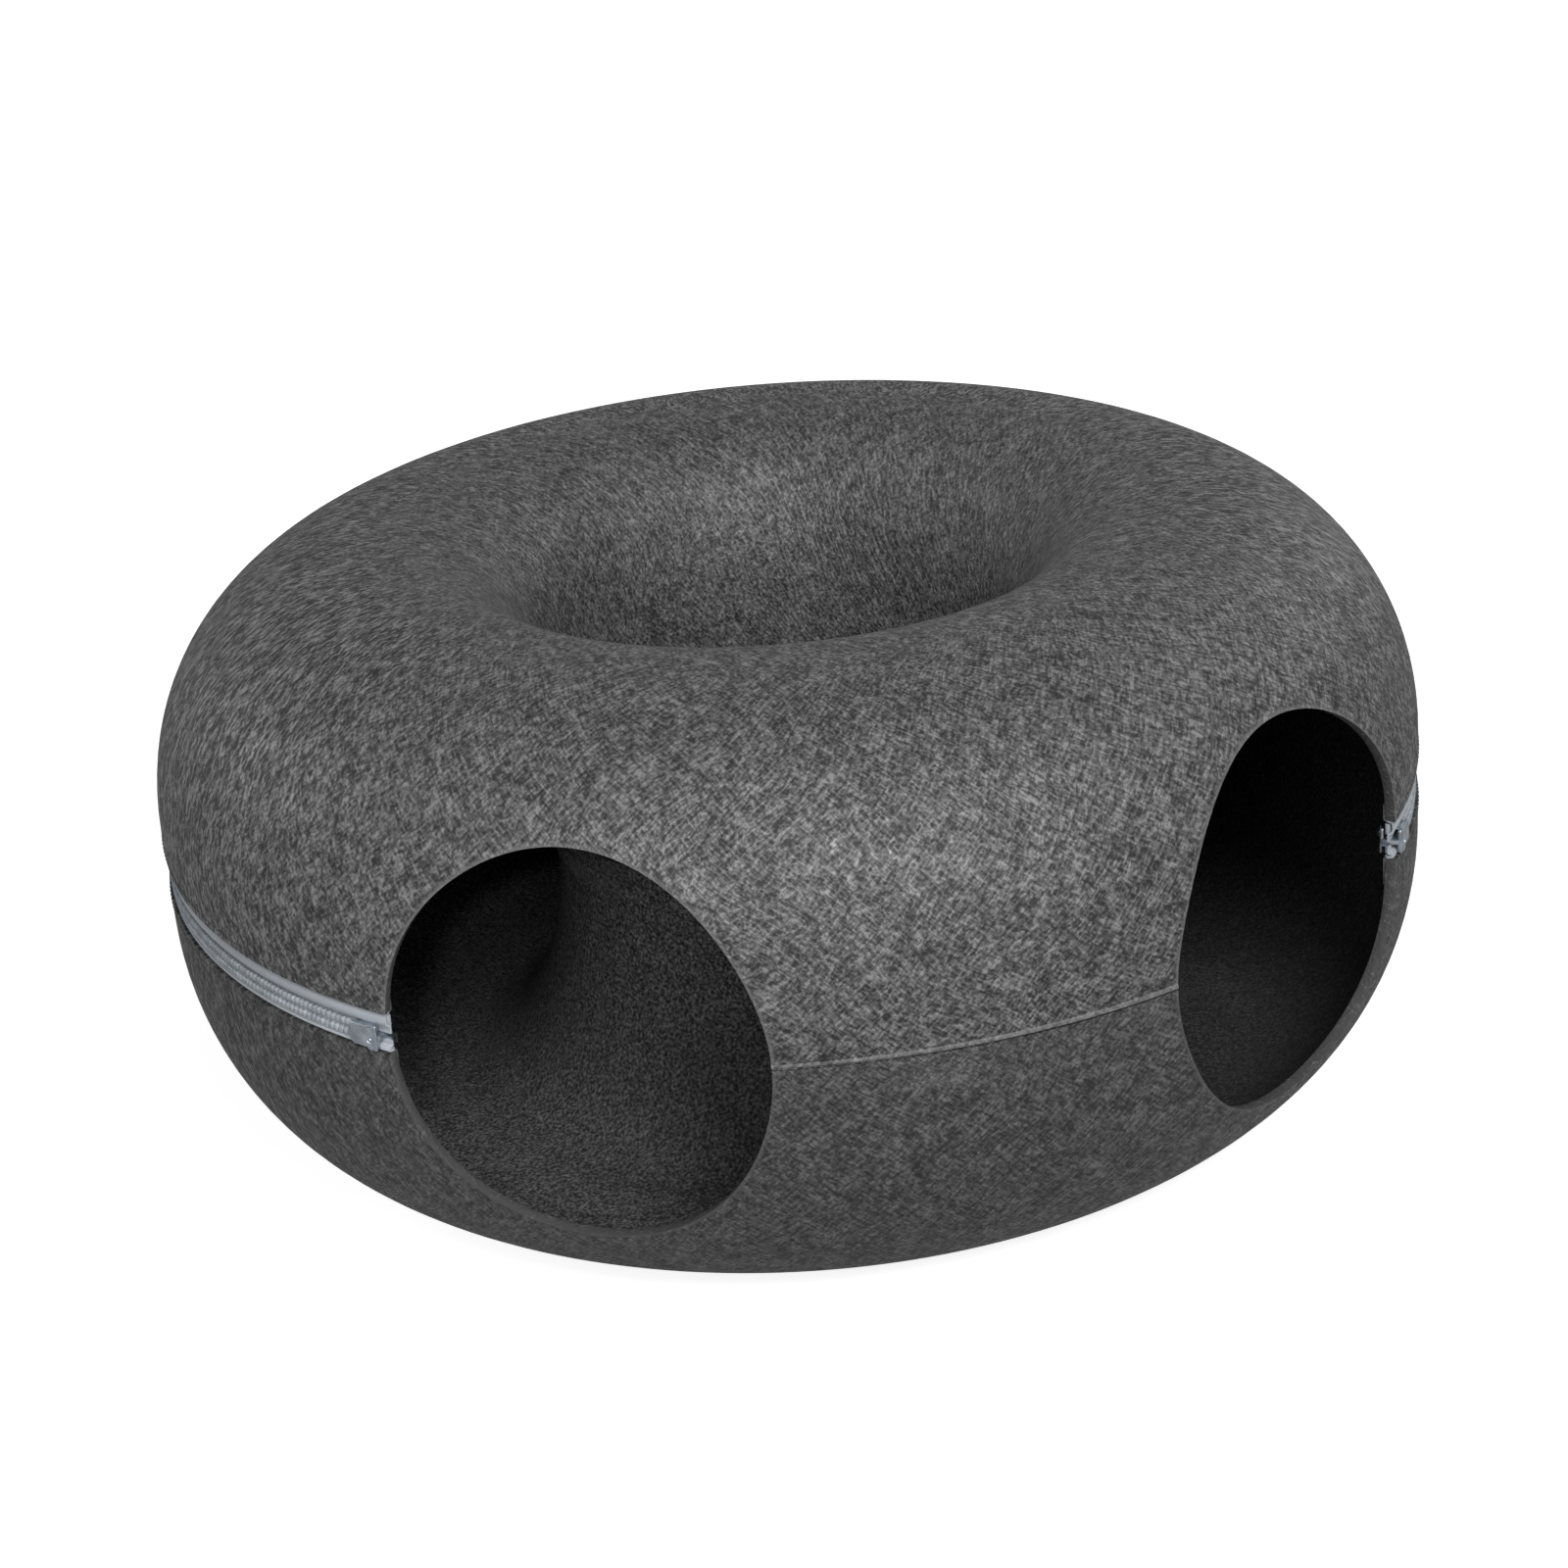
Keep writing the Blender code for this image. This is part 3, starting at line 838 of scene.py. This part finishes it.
def grainyMaterial(name, shades, roughness, metallic=0.0, cloud=300.0, grain=2500.0, bump=0.2):
    look, tree, shader = startLook(name)
    speck = useGroup(tree, speckNodes, Cloud=cloud, Grain=grain)
    share = rampUp(tree, speck["Shade"], zipLook["speckLow"], zipLook["speckHigh"])
    swing = times(tree, speck["Grain"], zipLook["roughSwing"])
    feed(tree, shader, {
        "Base Color": mixColour(tree, share, *shades),
        "Roughness": plus(tree, swing, roughness - zipLook["roughDrop"], clamp=True),
        "Metallic": metallic,
        "Normal": bumpFrom(tree, speck["Grain"], bump, zipLook["speckDepth"]),
    })
    return look


# the outer tape gets painted shade behind the felt, the hole tape painted light on its tunnel side
tapeCloth = tapeMaterial("zipTapeCloth", zipLook["tape"], "outerTape", zipLook["outerMatted"])
tapeEndCloth = tapeMaterial("zipTapeEndCloth", zipLook["fold"])
darkTapeCloth = tapeMaterial(
    "holeZipTapeCloth", zipLook["darkTape"], "holeTape", zipLook["holeMatted"]
)
coilNylon = grainyMaterial("zipCoilNylon", zipLook["nylon"], 0.62)
darkNylon = grainyMaterial("holeZipCoilNylon", zipLook["darkNylon"], 0.42)
castMetal = grainyMaterial(
    "zipCastMetal", zipLook["metal"], 0.36, metallic=1.0, cloud=260.0, grain=1800.0
)
sewingThread = grainyMaterial(
    "sewingThread", zipLook["thread"], 0.7, cloud=900.0, grain=4000.0, bump=0.6
)
print("materials made")


# the two felt halves

shell = {
    "arcParts": 26,
    "ringSteps": 192,
    "topOuterPower": 2.12,
    "topInnerPower": 2.7,
    "basePower": 2.05,
    "upperLand": 0.0161,
    "lowerLand": 0.0202,
    "edgeGap": 0.00015,
    "edgeRound": 0.0007,
    "cutterSides": 144,
    "cutBeyond": 0.01,
    "gapSteps": 160,
}


def quarterArc(centre, reach, land, rise, power):
    # points of a quarter of the section, from the straight land at the seam to the crown
    points = []
    for part in range(shell["arcParts"] + 1):
        turn = math.pi / 2 * part / shell["arcParts"]
        across = math.cos(turn) ** (2 / power) if part < shell["arcParts"] else 0
        points.append((centre + reach * across, land + rise * math.sin(turn) ** (2 / power)))
    return points


def upperSection():
    rise = ring["upperRise"] - shell["upperLand"]
    crown = ring["crownRadius"]
    hole, rim, land = ring["holeRadius"], ring["outerRadius"], shell["upperLand"]
    inner = quarterArc(crown, hole - crown, land, rise, shell["topInnerPower"])
    outer = quarterArc(crown, rim - crown, land, rise, shell["topOuterPower"])
    foot = (hole, ring["zipGap"] / 2)
    return [foot] + inner + outer[-2::-1] + [(rim, shell["edgeGap"])]


def lowerSection():
    drop = shell["lowerLand"] - ring["lowerDrop"]
    inside = ring["crownRadius"] - ring["baseWidth"] / 2
    outside = ring["crownRadius"] + ring["baseWidth"] / 2
    hole, rim, land = ring["holeRadius"], ring["outerRadius"], -shell["lowerLand"]
    inner = quarterArc(inside, hole - inside, land, drop, shell["basePower"])
    outer = quarterArc(outside, rim - outside, land, drop, shell["basePower"])
    foot = (hole, -ring["zipGap"] / 2)
    return [(rim, -shell["edgeGap"])] + outer + inner[::-1] + [foot]


def giveLooks(obj):
    for look in (felt, cutFelt, tunnelPaintedLightFelt):
        obj.data.materials.append(look)


def edgeFaces(cutter):
    # what it cuts takes the cut edge's look
    giveLooks(cutter)
    for face in cutter.data.polygons:
        face.material_index = 1
    return cutter


def entranceCutter(azimuth):
    clearSelection()
    length = ring["outerRadius"] + shell["cutBeyond"] - ring["crownRadius"]
    bpy.ops.mesh.primitive_cylinder_add(vertices=shell["cutterSides"], radius=1, depth=1)
    cutter = bpy.context.object
    edit(cutter)
    bpy.ops.transform.resize(value=(ring["entranceWidth"] / 2, ring["entranceHeight"] / 2, length))
    closeEdit()
    lay = Matrix.Rotation(math.pi / 2, 4, "X")
    out = Matrix.Translation((0, -ring["crownRadius"] - length / 2, ring["seamHeight"]))
    cutter.matrix_world = Matrix.Rotation(math.radians(azimuth), 4, "Z") @ out @ lay
    settle(cutter, 0)
    return edgeFaces(cutter)


def zipGapCutter():
    inner = -ring["outerRadius"] + ring["felt"] + shell["cutBeyond"]
    outer = -ring["outerRadius"] - shell["cutBeyond"]
    low = ring["seamHeight"] - ring["zipGap"] / 2
    high = ring["seamHeight"] + ring["zipGap"] / 2
    corners = [(0, inner, low), (0, outer, low), (0, outer, high), (0, inner, high)]
    cutter = drawLine("zipGapCutter", corners, closed=True)
    sweep = 360 - 2 * ring["entranceTurn"]
    turnRound(cutter, ring["entranceTurn"], sweep, shell["gapSteps"])
    tidyNormals(cutter)
    return edgeFaces(cutter)


def feltHalf(name, section, body, node, cutters):
    points = [(0, -radius, ring["seamHeight"] + height) for radius, height in section]
    half = drawLine(name, points)
    turnRound(half, 0, 360, shell["ringSteps"])
    tidyNormals(half)
    giveLooks(half)
    thicken(half, ring["felt"])
    half.modifiers["wall"].material_offset_rim = 1
    half.modifiers["wall"].material_offset = 2
    for cutter in cutters:
        cut(half, cutter)
    bevel(half, shell["edgeRound"], 2, 50)
    applyModifiers(half)
    settle(half, 35)
    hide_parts(node)
    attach(half, body)
    return half


cutters = [entranceCutter(side * ring["entranceTurn"]) for side in (1, -1)] + [zipGapCutter()]
upperFelt = feltHalf("upperFelt", upperSection(), "upper_half", "upper_felt_shell", cutters)
lowerFelt = feltHalf("lowerFelt", lowerSection(), "lower_half", "lower_felt_shell", cutters)
for cutter in cutters:
    bpy.data.objects.remove(cutter)
print("felt halves pressed:", len(upperFelt.data.polygons), len(lowerFelt.data.polygons))


# the two zips. A place on a zip is told by its azimuth, its height from the chain's middle, and
# its depth from the felt's tunnel face: positive towards the teeth

outerZip = {
    "node": "outer_zip",
    "tape": ("zip_tape", tapeCloth),
    "coil": ("zip_teeth", coilNylon),
    "wall": 0.246,
    "side": 1,
    "lift": 0.0010,
    "start": 49.93,
    "end": 310.07,
    "ribsFrom": 53.0,
    "ribsTo": 307.0,
    "steps": 180,
}
innerZip = {
    "node": "inner_zip",
    "tape": ("dark_tape", darkTapeCloth),
    "coil": ("dark_teeth", darkNylon),
    "wall": 0.096,
    "side": -1,
    "lift": 0.0,
    "start": 0.62,
    "end": 359.38,
    "ribsFrom": 8.2,
    "ribsTo": 356.6,
    "steps": 128,
}
coil = {
    "pitch": 0.0025,
    "halfChain": 0.00325,
    "bodyEnd": 0.0011,
    "neckEnd": 0.0007,
    "headEnd": -0.0010,
    "bodyWidth": 0.0019,
    "headWidth": 0.00118,
    "depth": 0.0022,
    "headDrop": 0.00045,
    "lean": 16,
    "round": 0.00062,
    "neckShare": 0.6,
}
tapeShape = {
    "thickness": 0.0008,
    "outerUpper": [(0.0011, 0.0013), (0.0011, 0.0036), (0.0014, 0.0041), (0.0024, 0.0047),
                   (0.0030, 0.0056), (0.0032, 0.0068), (0.0032, 0.0080), (0.0030, 0.0090),
                   (0.0024, 0.0097), (0.0010, 0.0101), (-0.0002, 0.0106), (-0.0003, 0.0116),
                   (-0.0003, 0.0164)],
    "outerLower": [(0.0011, -0.0013), (0.0011, -0.0031), (0.0017, -0.0034), (0.0026, -0.0038),
                   (0.0030, -0.0044), (0.0030, -0.0049), (0.0024, -0.0053), (0.0006, -0.0055),
                   (-0.0003, -0.0062), (-0.0003, -0.0164)],
    "holeUpper": [(-0.0004, 0.0013), (-0.0003, 0.0036), (-0.0003, 0.0057), (0.0002, 0.0060),
                  (0.0007, 0.0067), (0.0009, 0.0079), (0.0006, 0.0092), (0.0000, 0.0101),
                  (-0.0003, 0.0108), (-0.0003, 0.0164)],
    "holeLower": [(-0.0004, -0.0013), (-0.0003, -0.0036), (-0.0003, -0.0090), (-0.0003, -0.0164)],
}


def zipPoint(line, depth, height, along=0.0):
    # a point at the front of the ring, before it is turned to its azimuth
    return (along, -(line["wall"] + line["side"] * depth), ring["chainHeight"] + height)


def ribRow(line, row, body, node):
    # one rib: a body by the tape, a neck, and a head that reaches between the other row's heads
    clearSelection()
    bpy.ops.mesh.primitive_cube_add(size=1)
    rib = bpy.context.object
    length = coil["halfChain"] - coil["bodyEnd"]
    height = row * (coil["halfChain"] + coil["bodyEnd"]) / 2
    middle = zipPoint(line, line["lift"] + coil["depth"] / 2, height)
    edit(rib)
    bpy.ops.transform.resize(value=(coil["bodyWidth"], coil["depth"], length))
    bpy.ops.transform.translate(value=middle)
    selectWhere(rib, lambda place, normal: normal.z * row < -squareOn)
    thin = coil["headWidth"] / coil["bodyWidth"]
    neck = Vector((0, line["side"] * coil["headDrop"], -row * (coil["bodyEnd"] - coil["neckEnd"])))
    extrude(neck)
    bpy.ops.transform.resize(value=(thin, coil["neckShare"], 1))
    head = Vector((0, 0, -row * (coil["neckEnd"] - coil["headEnd"])))
    extrude(head)
    selectAll()
    rotate(row * coil["lean"], "Y", zipPoint(line, 0, 0))
    closeEdit()
    bevel(rib, coil["round"], 2)
    applyModifiers(rib)
    pitchTurn = math.degrees(coil["pitch"] / (line["wall"] + line["side"] * coil["depth"]))
    count = round((line["ribsTo"] - line["ribsFrom"]) / pitchTurn)
    first = line["ribsFrom"] + (0 if row > 0 else pitchTurn / 2)
    turnRound(rib, first, count * pitchTurn, count, copies=True)
    settle(rib, 50)
    return finishPiece(rib, ownName(node, "Ribs"), body, *line["coil"], (node,))


def tapeStrip(line, section, body, node):
    strip = drawLine("strip", [zipPoint(line, depth, height) for depth, height in section])
    turnRound(strip, line["start"], line["end"] - line["start"], line["steps"])
    tidyNormals(strip)
    if line["side"] < 0:
        edit(strip)
        bpy.ops.mesh.flip_normals()
        closeEdit()
    thicken(strip, tapeShape["thickness"])
    applyModifiers(strip)
    settle(strip, 60)
    return finishPiece(strip, ownName(node, "Cloth"), body, *line["tape"], (node,))


for line, kind in ((outerZip, "outer"), (innerZip, "hole")):
    tapeStrip(line, tapeShape[kind + "Upper"], "upper_half", line["node"] + "_upper_tape")
    tapeStrip(line, tapeShape[kind + "Lower"], "lower_half", line["node"] + "_lower_tape")
    ribRow(line, 1, "upper_half", line["node"] + "_upper_teeth")
    ribRow(line, -1, "lower_half", line["node"] + "_lower_teeth")
print("zips sewn in")


# sewing: a pressed lip along the front seam, whip stitches behind it, and the zips' thread

sewing = {
    "lipHeight": 0.0024,
    "lipProud": 0.00045,
    "lipLean": 0.0010,
    "lipStart": -17.18,
    "lipSweep": 33.79,
    "lipSteps": 48,
    "lipParts": 8,
    "lipSunk": 0.0004,
    "lipBehind": 0.0012,
    "thread": 0.00026,
    "threadOut": 0.35,
    "endDip": 1.6,
    "endShare": 0.7,
    "stitch": 0.0023,
    "pitch": 0.0038,
    "fromEdge": 0.0029,
    "outerInset": 0.9,
    "holeInset": 2.0,
    "tapeBack": -0.0011,
    "whipPitch": 0.0042,
    "whipReach": 0.0030,
    "whipSweep": 30.4,
    "whipOut": 0.4,
    "whipDip": 2,
    "whipLean": 17,
    "whipCuts": 8,
    "foldReach": 0.0016,
}
tapeEnd = {
    "upper": (0.0042, 0.0084),
    "lower": (-0.0079, -0.0046),
    "reach": 0.0034,
    "backShare": 0.8,
    "bendFrom": -0.0008,
    "bend": 0.0011,
    "bendParts": 6,
    "sunk": 0.0002,
    "spring": 0.0004,
    "pastTape": 0.05,
    "round": 0.00022,
}


def seamLip():
    # the upper felt's edge at the front: proud at the right, flush at the left
    face = ring["outerRadius"] - sewing["lipSunk"]
    inner = ring["outerRadius"] - ring["felt"] + sewing["lipBehind"]
    low = ring["seamHeight"] + shell["edgeGap"]
    high = low + sewing["lipHeight"]
    lean = sewing["lipLean"]
    bulge = (-(high - low) / 2, sewing["lipSunk"] + sewing["lipProud"])
    corners = [(lean, -inner, high), (lean, -inner, low)]
    for height, depth in arcPoints(((low + high) / 2, face), bulge, 0, 180, sewing["lipParts"]):
        corners.append((lean, -depth, height))
    lip = drawLine("lip", corners, closed=True)
    sweep, steps = sewing["lipSweep"], sewing["lipSteps"]
    turnRound(lip, sewing["lipStart"], sweep, steps, centre=(lean, 0, 0))
    tidyNormals(lip)
    settle(lip, 60)
    return finishPiece(lip, "frontSeamLip", "upper_half", "felt", lipPaintedHighlightFelt)


def stitchBar(length, place, upright=False):
    # a short length of thread whose ends turn down into the cloth; place is its middle
    clearSelection()
    bpy.ops.mesh.primitive_cylinder_add(vertices=6, radius=sewing["thread"], depth=length)
    bar = bpy.context.object
    edit(bar, "FACE")
    if not upright:
        rotate(90, "Y")
    bpy.ops.transform.translate(value=place)
    closeEdit()
    return bar


def dipEnds(bar, axis, dip):
    # extrudes both ends of a stitch a little further and down by dip, along Y
    for side in (1, -1):
        edit(bar, "FACE")
        selectWhere(bar, lambda middle, normal: normal[axis] * side > squareOn)
        step = Vector((0, dip, 0))
        step[axis] = side * abs(dip)
        extrude(step)
        bpy.ops.transform.resize(value=[sewing["endShare"]] * 3)
        closeEdit()


def zipStitches(line, row, depth, body, name):
    # one row of thread along a zip, on the felt's face or on the tape's back
    turnOut = 1 if depth > 0 else -1
    height = ring["seamHeight"] - ring["chainHeight"]
    height += row * (ring["zipGap"] / 2 + sewing["fromEdge"])
    place = zipPoint(line, depth + turnOut * sewing["thread"] * sewing["threadOut"], height)
    bar = stitchBar(sewing["stitch"], place)
    dipEnds(bar, 0, turnOut * line["side"] * sewing["thread"] * sewing["endDip"])
    inset = sewing["outerInset"] if line["side"] > 0 else sewing["holeInset"]
    start, end = line["start"] + inset, line["end"] - inset
    pitchTurn = math.degrees(sewing["pitch"] / abs(place[1]))
    count = int((end - start) / pitchTurn)
    turnRound(bar, start, count * pitchTurn, count, copies=True)
    settle(bar, 60)
    return finishPiece(bar, name, body, "felt", sewingThread)


def whipStitches():
    # hold the two felts edge to edge on the tunnel side, where the lid folds
    inside = ring["outerRadius"] - ring["felt"]
    place = (0, -(inside - sewing["thread"] * sewing["whipOut"]), ring["seamHeight"])
    bar = stitchBar(2 * sewing["whipReach"], place, upright=True)
    edit(bar, "EDGE")
    selectAll("DESELECT")
    shape = bmesh.from_edit_mesh(bar.data)
    for edge in shape.edges:
        edge.select = abs(edge.verts[0].co.z - edge.verts[1].co.z) > sewing["thread"]
    shape.select_flush_mode()
    bmesh.update_edit_mesh(bar.data)
    bpy.ops.mesh.subdivide(number_cuts=sewing["whipCuts"])
    closeEdit()
    dipEnds(bar, 2, -sewing["thread"] * sewing["whipDip"])
    edit(bar)
    rotate(sewing["whipLean"], "Y", (0, 0, ring["seamHeight"]))
    closeEdit()
    pitchTurn = math.degrees(sewing["whipPitch"] / inside)
    count = int(sewing["whipSweep"] / pitchTurn)
    turnRound(bar, -count * pitchTurn / 2, count * pitchTurn, count, copies=True)
    settle(bar, 60)
    finishPiece(bar, "frontWhipStitches", "", "felt", sewingThread)
    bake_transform(bar)
    return bar


def foldedEnd(side, low, high, body, name):
    # the end of a tape, turned over on itself where it meets the entrance
    reach, bendFrom = tapeEnd["reach"], tapeEnd["bendFrom"]
    sunk, half = tapeEnd["sunk"], tapeEnd["bend"] / 2
    path = [(-reach, -sunk), (bendFrom, -sunk)]
    path += arcPoints((bendFrom, half - sunk), (half, half), -67.5, 67.5, tapeEnd["bendParts"])
    path.append((bendFrom, tapeEnd["bend"] - sunk))
    path.append((-reach * tapeEnd["backShare"], tapeEnd["bend"] + tapeEnd["spring"]))
    corners = [zipPoint(outerZip, depth, low, along) for along, depth in path]
    fold = drawLine("fold", corners)
    edit(fold)
    extrude((0, 0, high - low))
    closeEdit()
    tidyNormals(fold, sameSpot)
    thicken(fold, tapeShape["thickness"], 0)
    bevel(fold, tapeEnd["round"], 2, 40)
    applyModifiers(fold)
    azimuth = side * (outerZip["start"] + tapeEnd["pastTape"])
    place = Matrix.Rotation(math.radians(azimuth), 4, "Z")
    fold.matrix_world = place @ Matrix.Diagonal((-side, 1, 1, 1))
    settle(fold, 60)
    tidyNormals(fold, sameSpot)
    return finishPiece(fold, name, body, "zip_tape", tapeEndCloth)


seamLip()
whipStitches()
for line, zipName in ((outerZip, "outerZip"), (innerZip, "holeZip")):
    for row, body, rowName in ((1, "upper_half", "Upper"), (-1, "lower_half", "Lower")):
        zipStitches(line, row, ring["felt"], body, zipName + rowName + "FeltStitches")
        zipStitches(line, row, sewing["tapeBack"], body, zipName + rowName + "TapeStitches")
for side, sideName in ((1, "right"), (-1, "left")):
    foldedEnd(side, *tapeEnd["upper"], "upper_half", sideName + "UpperTapeEnd")
    foldedEnd(side, *tapeEnd["lower"], "lower_half", sideName + "LowerTapeEnd")
print("seams sewn")


# sliders and pull tabs, each built at the front and turned to its place

slider = {
    "length": 0.015,
    "tailCut": 0.0024,
    "wideHalf": 0.0051,
    "tailHalf": 0.0043,
    "corner": 0.0013,
    "cornerParts": 5,
    "waistBack": 0.0058,
    "waistOut": 0.0001,
    "plate": 0.0012,
    "cover": 0.0025,
    "dome": 0.0005,
    "domeBorder": 0.0011,
    "round": 0.0003,
    "railInset": 0.0016,
    "railWide": 0.0045,
    "railTail": 0.00385,
    "railLow": 0.0001,
    # the bar across the wide end and the post between the plates, from the wide end: along, height
    "bar": [(-0.0042, 0.0044), (-0.0016, 0.0046)],
    "barProud": 0.0003,
    "post": [(0.0009, 0.0008), (-0.0014, 0.0013), (-0.0028, 0.0007)],
    "pin": (-0.0029, -0.0008),
    "pinRadius": 0.0010,
    "pinProud": 0.0007,
    "pinDome": -0.0006,
    "pinBorder": 0.0004,
    "bridgeWidth": 0.0024,
    "bridgeOuter": 0.00191,
    "bridgeRise": 0.0018,
    "bridgeOff": 0.0011,
    "eyeRadius": 0.00101,
    "eyeOff": 0.0010,
    "footSunk": 0.0004,
}
tab = {
    "length": 0.018,
    "halfWidth": 0.0032,
    "eye": 0.0015,
    "eyeBorder": 0.0012,
    "back": 0.0005,
    "neck": 0.0034,
    "window": (0.0005, 0.0031),
    "thickness": 0.001,
    "round": 0.0003,
    "endParts": 12,
}


def sliderOutline():
    # plan of a plate, wide end towards +X, as (along, height)
    half = slider["length"] / 2
    back = half - slider["tailCut"]
    wide, tail, corner = slider["wideHalf"], slider["tailHalf"], slider["corner"]
    radii, parts = (corner, corner), slider["cornerParts"]
    edge = arcPoints((corner - back, tail - corner), radii, 180, 90, parts)
    edge.append((half - slider["waistBack"], tail + slider["waistOut"]))
    edge += arcPoints((half - corner, wide - corner), radii, 90, 0, parts)
    return edge + [(x, -z) for x, z in reversed(edge)]


def slab(line, wide, outline, low, high, dome=0.0, border=slider["domeBorder"]):
    # an outline between two depths; a dome raises its middle, inside a border
    points = [zipPoint(line, low, z, x * wide) for x, z in outline]
    piece = drawLine("slab", points, closed=True)
    edit(piece, "FACE")
    step = Vector((0, -line["side"] * (high - low), 0))
    extrude(step)
    if dome:
        bpy.ops.mesh.inset(thickness=border)
        bpy.ops.transform.translate(value=step.normalized() * dome)
    closeEdit()
    tidyNormals(piece, sameSpot)
    return piece


def sliderBridge(line, base):
    # the arch on the tunnel side that the pull tab hangs on
    outer, eye, foot = slider["bridgeOuter"], slider["eyeRadius"], base + slider["footSunk"]
    loop = [(outer, foot)]
    loop += arcPoints((0, base - slider["bridgeOff"]), (outer, -slider["bridgeRise"]), 0, 180, 8)
    loop += [(-outer, foot), (-eye, foot)]
    loop += arcPoints((0, base - slider["eyeOff"]), (eye, -eye), 180, 0, 8)
    loop.append((eye, foot))
    points = [zipPoint(line, depth, -slider["bridgeWidth"] / 2, along) for along, depth in loop]
    bridge = drawLine("bridge", points, closed=True)
    edit(bridge, "FACE")
    extrude((0, 0, slider["bridgeWidth"]))
    closeEdit()
    tidyNormals(bridge, sameSpot)
    return bridge


def sliderPiece(line, wide, floorDepth):
    half = slider["length"] / 2
    tail = half - slider["tailCut"]
    cover, plate = slider["cover"] + line["lift"], slider["plate"]
    middle, top = cover + plate / 2, cover + plate + slider["dome"]
    outline = sliderOutline()
    parts = [
        slab(line, wide, outline, cover, cover + plate, slider["dome"]),
        slab(line, wide, outline, floorDepth - plate, floorDepth),
    ]
    front, back = half - slider["railInset"], slider["railInset"] - tail
    for row in (1, -1):
        rail = [(front, row * slider["railWide"]), (front, row * slider["wideHalf"]),
                (back, row * slider["tailHalf"]), (back, row * slider["railTail"])]
        parts.append(slab(line, wide, rail, slider["railLow"], middle))
    bar = [(half + along, -rise) for along, rise in slider["bar"]]
    bar += [(half + along, rise) for along, rise in reversed(slider["bar"])]
    parts.append(slab(line, wide, bar, middle, top + slider["barProud"]))
    along, rise = slider["pin"]
    pin = arcPoints((half + along, rise), [slider["pinRadius"]] * 2, 0, 330, 11)
    dome, border = slider["pinDome"], slider["pinBorder"]
    parts.append(slab(line, wide, pin, cover + plate, top + slider["pinProud"], dome, border))
    post = [(half + along, rise) for along, rise in slider["post"]]
    post += [(half + along, -rise) for along, rise in reversed(slider["post"])]
    parts.append(slab(line, wide, post, floorDepth - plate / 2, middle))
    parts.append(sliderBridge(line, floorDepth - plate))
    for part in parts:
        bevel(part, slider["round"], 2, 30)
        applyModifiers(part)
    return join(parts)


def tabPiece(line, wide, floorDepth):
    # hangs on the bridge, away from the slider's wide end
    depth = floorDepth - slider["plate"] - slider["eyeRadius"] - tab["thickness"] / 2
    halfWidth, eye, back, neck = tab["halfWidth"], tab["eye"], -tab["back"], tab["neck"]
    collar = eye + tab["eyeBorder"]
    middle = (tab["length"] - halfWidth, 0)
    end = arcPoints(middle, (halfWidth, halfWidth), -90, 90, tab["endParts"])
    outline = [(back, -collar), (neck, -halfWidth)] + end + [(neck, halfWidth), (back, collar)]
    near, far = tab["window"]
    window = [(near, -eye), (far, -eye), (far, eye), (near, eye)]
    loops = []
    for loop in (outline, window):
        points = [zipPoint(line, depth, z, -wide * x) for x, z in loop]
        loops.append(drawLine("tab", points + points[:1]))
    piece = join(loops)
    edit(piece)
    bpy.ops.mesh.remove_doubles(threshold=sameSpot)
    selectAll()
    bpy.ops.mesh.fill()
    selectAll()
    step = (0, -line["side"] * tab["thickness"], 0)
    extrude(step)
    closeEdit()
    tidyNormals(piece, sameSpot)
    bevel(piece, tab["round"], 2, 40)
    applyModifiers(piece)
    return piece


# the zip, the node's beginning, the azimuth, which way the wide end looks along it, how deep the
# inner plate lies, and the two bodies
sliderPlaces = [
    (outerZip, "outer_zip_right", 52.448, -1, -0.00204, "right_slider", "right_pull_tab"),
    (outerZip, "outer_zip_left", -52.448, 1, -0.00204, "left_slider", "left_pull_tab"),
    (innerZip, "inner_zip", 7.128, -1, -0.0014, "hole_slider", "hole_pull_tab"),
]
for line, start, azimuth, wide, floorDepth, sliderBody, tabBody in sliderPlaces:
    kinds = ((sliderPiece, sliderBody, "_slider"), (tabPiece, tabBody, "_pull_tab"))
    for make, body, ending in kinds:
        piece = make(line, wide, floorDepth)
        piece.matrix_world = Matrix.Rotation(math.radians(azimuth), 4, "Z")
        settle(piece, 35)
        node = start + ending
        finishPiece(piece, ownName(node, "Metal"), body, "zip_metal", castMetal, (node,))
for node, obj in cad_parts.items():
    if node.endswith("end_stop"):
        obj.data.materials.clear()
        obj.data.materials.append(castMetal)
print("sliders fitted")
